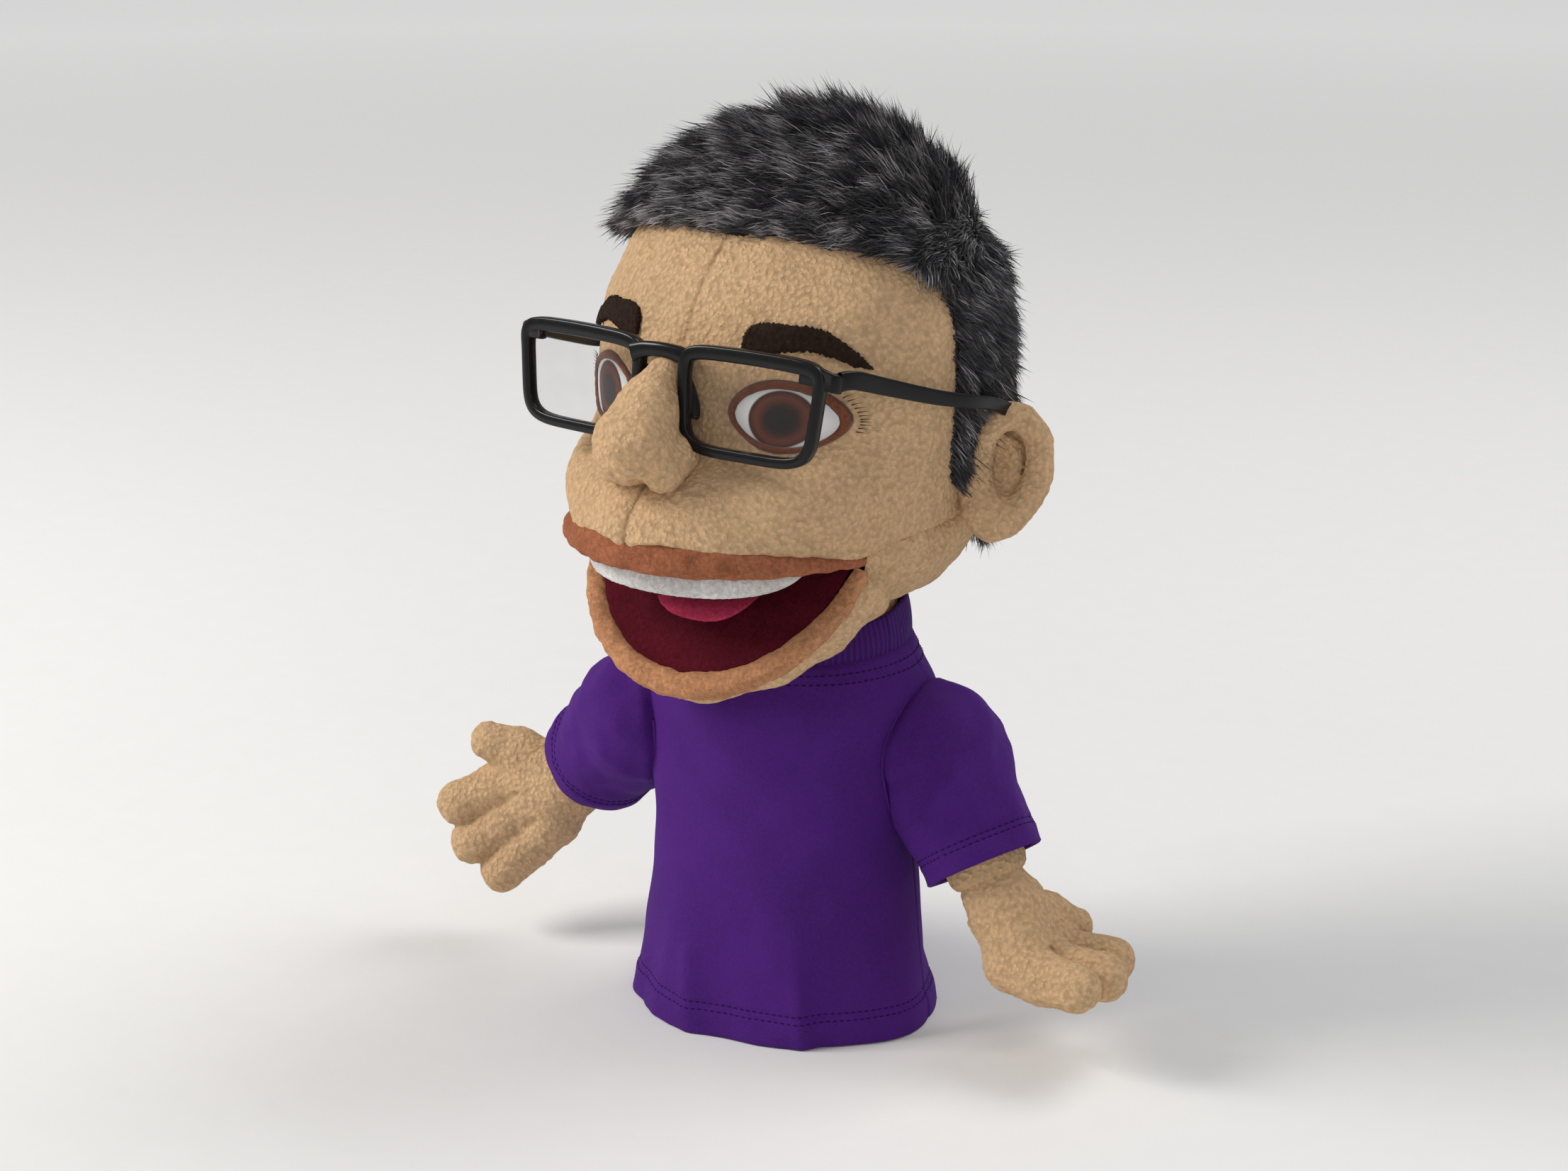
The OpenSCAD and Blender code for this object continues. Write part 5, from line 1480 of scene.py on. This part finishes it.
class PUPPET_OT_hair(bpy.types.Operator):
    """Build the fur wig as a backing and six locks of strands"""
    bl_idname = "puppet.hair"
    bl_label = "Fur Wig"

    def execute(self, context):
        sizes = context.scene.puppet_sizes
        scalp()
        top, side = sizes.crown_hair / MM, sizes.side_hair / MM
        areas = {
            "fur_crown_front": lambda p: (p[:, 2] > 288) * (p[:, 1] < 12),
            "fur_crown_left": lambda p: (p[:, 2] > 288) * (p[:, 1] >= 12) * (p[:, 0] >= 0),
            "fur_crown_right": lambda p: (p[:, 2] > 288) * (p[:, 1] >= 12) * (p[:, 0] < 0),
            "fur_side_left": lambda p: (p[:, 2] <= 288) * (p[:, 1] < 52) * (p[:, 0] >= 0),
            "fur_side_right": lambda p: (p[:, 2] <= 288) * (p[:, 1] < 52) * (p[:, 0] < 0),
            "fur_back": lambda p: (p[:, 2] <= 288) * (p[:, 1] >= 52)}
        for i, (name, part) in enumerate(areas.items()):
            fur_lock(name, sizes.strands, 200 + i, part, top, side)
        return {"FINISHED"}


class PUPPET_OT_spectacles(bpy.types.Operator):
    """Build the spectacle front and temples"""
    bl_idname = "puppet.spectacles"
    bl_label = "Spectacles"

    def execute(self, context):
        spectacles()
        return {"FINISHED"}


class PUPPET_OT_shirt(bpy.types.Operator):
    """Build the shirt's body, collar and sleeves"""
    bl_idname = "puppet.shirt"
    bl_label = "Shirt"

    def execute(self, context):
        shirt_body()
        collar()
        sleeve(1)
        sleeve(-1)
        return {"FINISHED"}


class PUPPET_OT_arms(bpy.types.Operator):
    """Build the fleece arms and hands"""
    bl_idname = "puppet.arms"
    bl_label = "Arms and Hands"

    def execute(self, context):
        arm(1)
        arm(-1)
        hand(1, (-34.4, 3.2, 99.2), 50)
        hand(-1, (-10, 53.3, 12.8), 8)
        return {"FINISHED"}


class PUPPET_OT_hidden_parts(bpy.types.Operator):
    """Finish the boards, pockets, foam, lenses and screws that keep their solids"""
    bl_idname = "puppet.hidden_parts"
    bl_label = "Boards, Pockets and Foam"

    def execute(self, context):
        wanted = {"body_tube": "foam", "hand_opening_binding": "skin", "upper_mouth_board": "board",
            "lower_mouth_board": "board",
                  "mouth_hinge_tape": "lining", "finger_pocket": "lining", "thumb_pocket": "lining",
                      "lens_left": "lens",
                  "lens_right": "lens", "temple_screws": "steel"}
        for node, name in wanted.items():
            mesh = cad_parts[node].data
            mesh.materials.clear()
            mesh.materials.append(finish(name))
        return {"FINISHED"}


class PUPPET_OT_stage(bpy.types.Operator):
    """Set up the pale floor, soft lights and camera"""
    bl_idname = "puppet.stage"
    bl_label = "Stage"

    def execute(self, context):
        scene = context.scene
        x = np.linspace(-12000, 12000, 9)
        p = np.stack(np.broadcast_arrays(x[None], x[:, None], 0.0), -1)
        f = Finish("pale_paper")
        grain = f.noise(60, 3)
        away = f.add("ShaderNodeVectorMath", {"operation": "LENGTH"}, {0: f.place}, 1)
        f.set(Base_Color=f.mix(grain, (0.76, 0.755, 0.745), (0.79, 0.785, 0.775)), Roughness=0.9,
            Emission_Strength=1.0)
        f.set(Emission_Color=f.mix(f.between(away, 0.4, 3.2), (0, 0, 0), (0.36, 0.355, 0.35)))
        floor = make_piece("floor", p, quads(9, 9), f.material, inside=(0, 0, -5000))
        world = bpy.data.worlds.new("studio")
        scene.world = world
        world.use_nodes = True
        world.node_tree.nodes["Background"].inputs[0].default_value = (0.95, 0.97, 1.0, 1)
        world.node_tree.nodes["Background"].inputs[1].default_value = 0.36
        target = Vector(LOOK_AT)
        lights = (("key", (-1.3, -1.15, 1.35), 36, 0.8, (1.0, 0.97, 0.93)),
            ("fill", (1.3, -1.5, 0.7), 7, 1.4, (1.0, 0.98, 0.96)),
                  ("top", (0.5, 0.9, 1.6), 13, 1.0, (1.0, 1.0, 1.0)))
        for name, place, power, wide, tint in lights:
            lamp = bpy.data.lights.new(name, "AREA")
            lamp.energy, lamp.size, lamp.color = power, wide, tint
            item = bpy.data.objects.new(name, lamp)
            item.location = place
            item.rotation_euler = (target - Vector(place)).to_track_quat("-Z", "Y").to_euler()
            scene.collection.objects.link(item)
        camera = bpy.data.cameras.new("camera")
        camera.sensor_width, camera.lens = SENSOR, LENS
        item = bpy.data.objects.new("camera", camera)
        item.location = target + Vector(CAMERA_WAY) * CAMERA_FAR
        item.rotation_euler = (target - item.location).to_track_quat("-Z", "Y").to_euler()
        scene.collection.objects.link(item)
        scene.camera = item
        scene.view_settings.view_transform = "Standard"
        return {"FINISHED"}


class PUPPET_PT_panel(bpy.types.Panel):
    """Puppet pieces in the sidebar"""
    bl_idname = "PUPPET_PT_panel"
    bl_label = "Mouth Puppet"
    bl_space_type = "VIEW_3D"
    bl_region_type = "UI"
    bl_category = "Puppet"

    def draw(self, context):
        layout = self.layout
        for group in (context.scene.puppet_sizes, context.scene.puppet_colours):
            for key in group.__annotations__:
                layout.prop(group, key)
        for operator in OPERATORS:
            layout.operator(operator.bl_idname)


OPERATORS = (PUPPET_OT_skin, PUPPET_OT_nose_and_ears, PUPPET_OT_eyes, PUPPET_OT_mouth, PUPPET_OT_hair,
    PUPPET_OT_spectacles,
             PUPPET_OT_shirt, PUPPET_OT_arms, PUPPET_OT_hidden_parts, PUPPET_OT_stage)
CLASSES = (PuppetSizes, PuppetColours, *OPERATORS, PUPPET_PT_panel)


def register():
    for item in CLASSES:
        bpy.utils.register_class(item)
    bpy.types.Scene.puppet_sizes = PointerProperty(type=PuppetSizes)
    bpy.types.Scene.puppet_colours = PointerProperty(type=PuppetColours)


def unregister():
    del bpy.types.Scene.puppet_colours
    del bpy.types.Scene.puppet_sizes
    for item in reversed(CLASSES):
        bpy.utils.unregister_class(item)


def main():
    register()
    for operator in OPERATORS:
        group, name = operator.bl_idname.split(".")
        getattr(getattr(bpy.ops, group), name)()


if __name__ == "__main__":
    main()
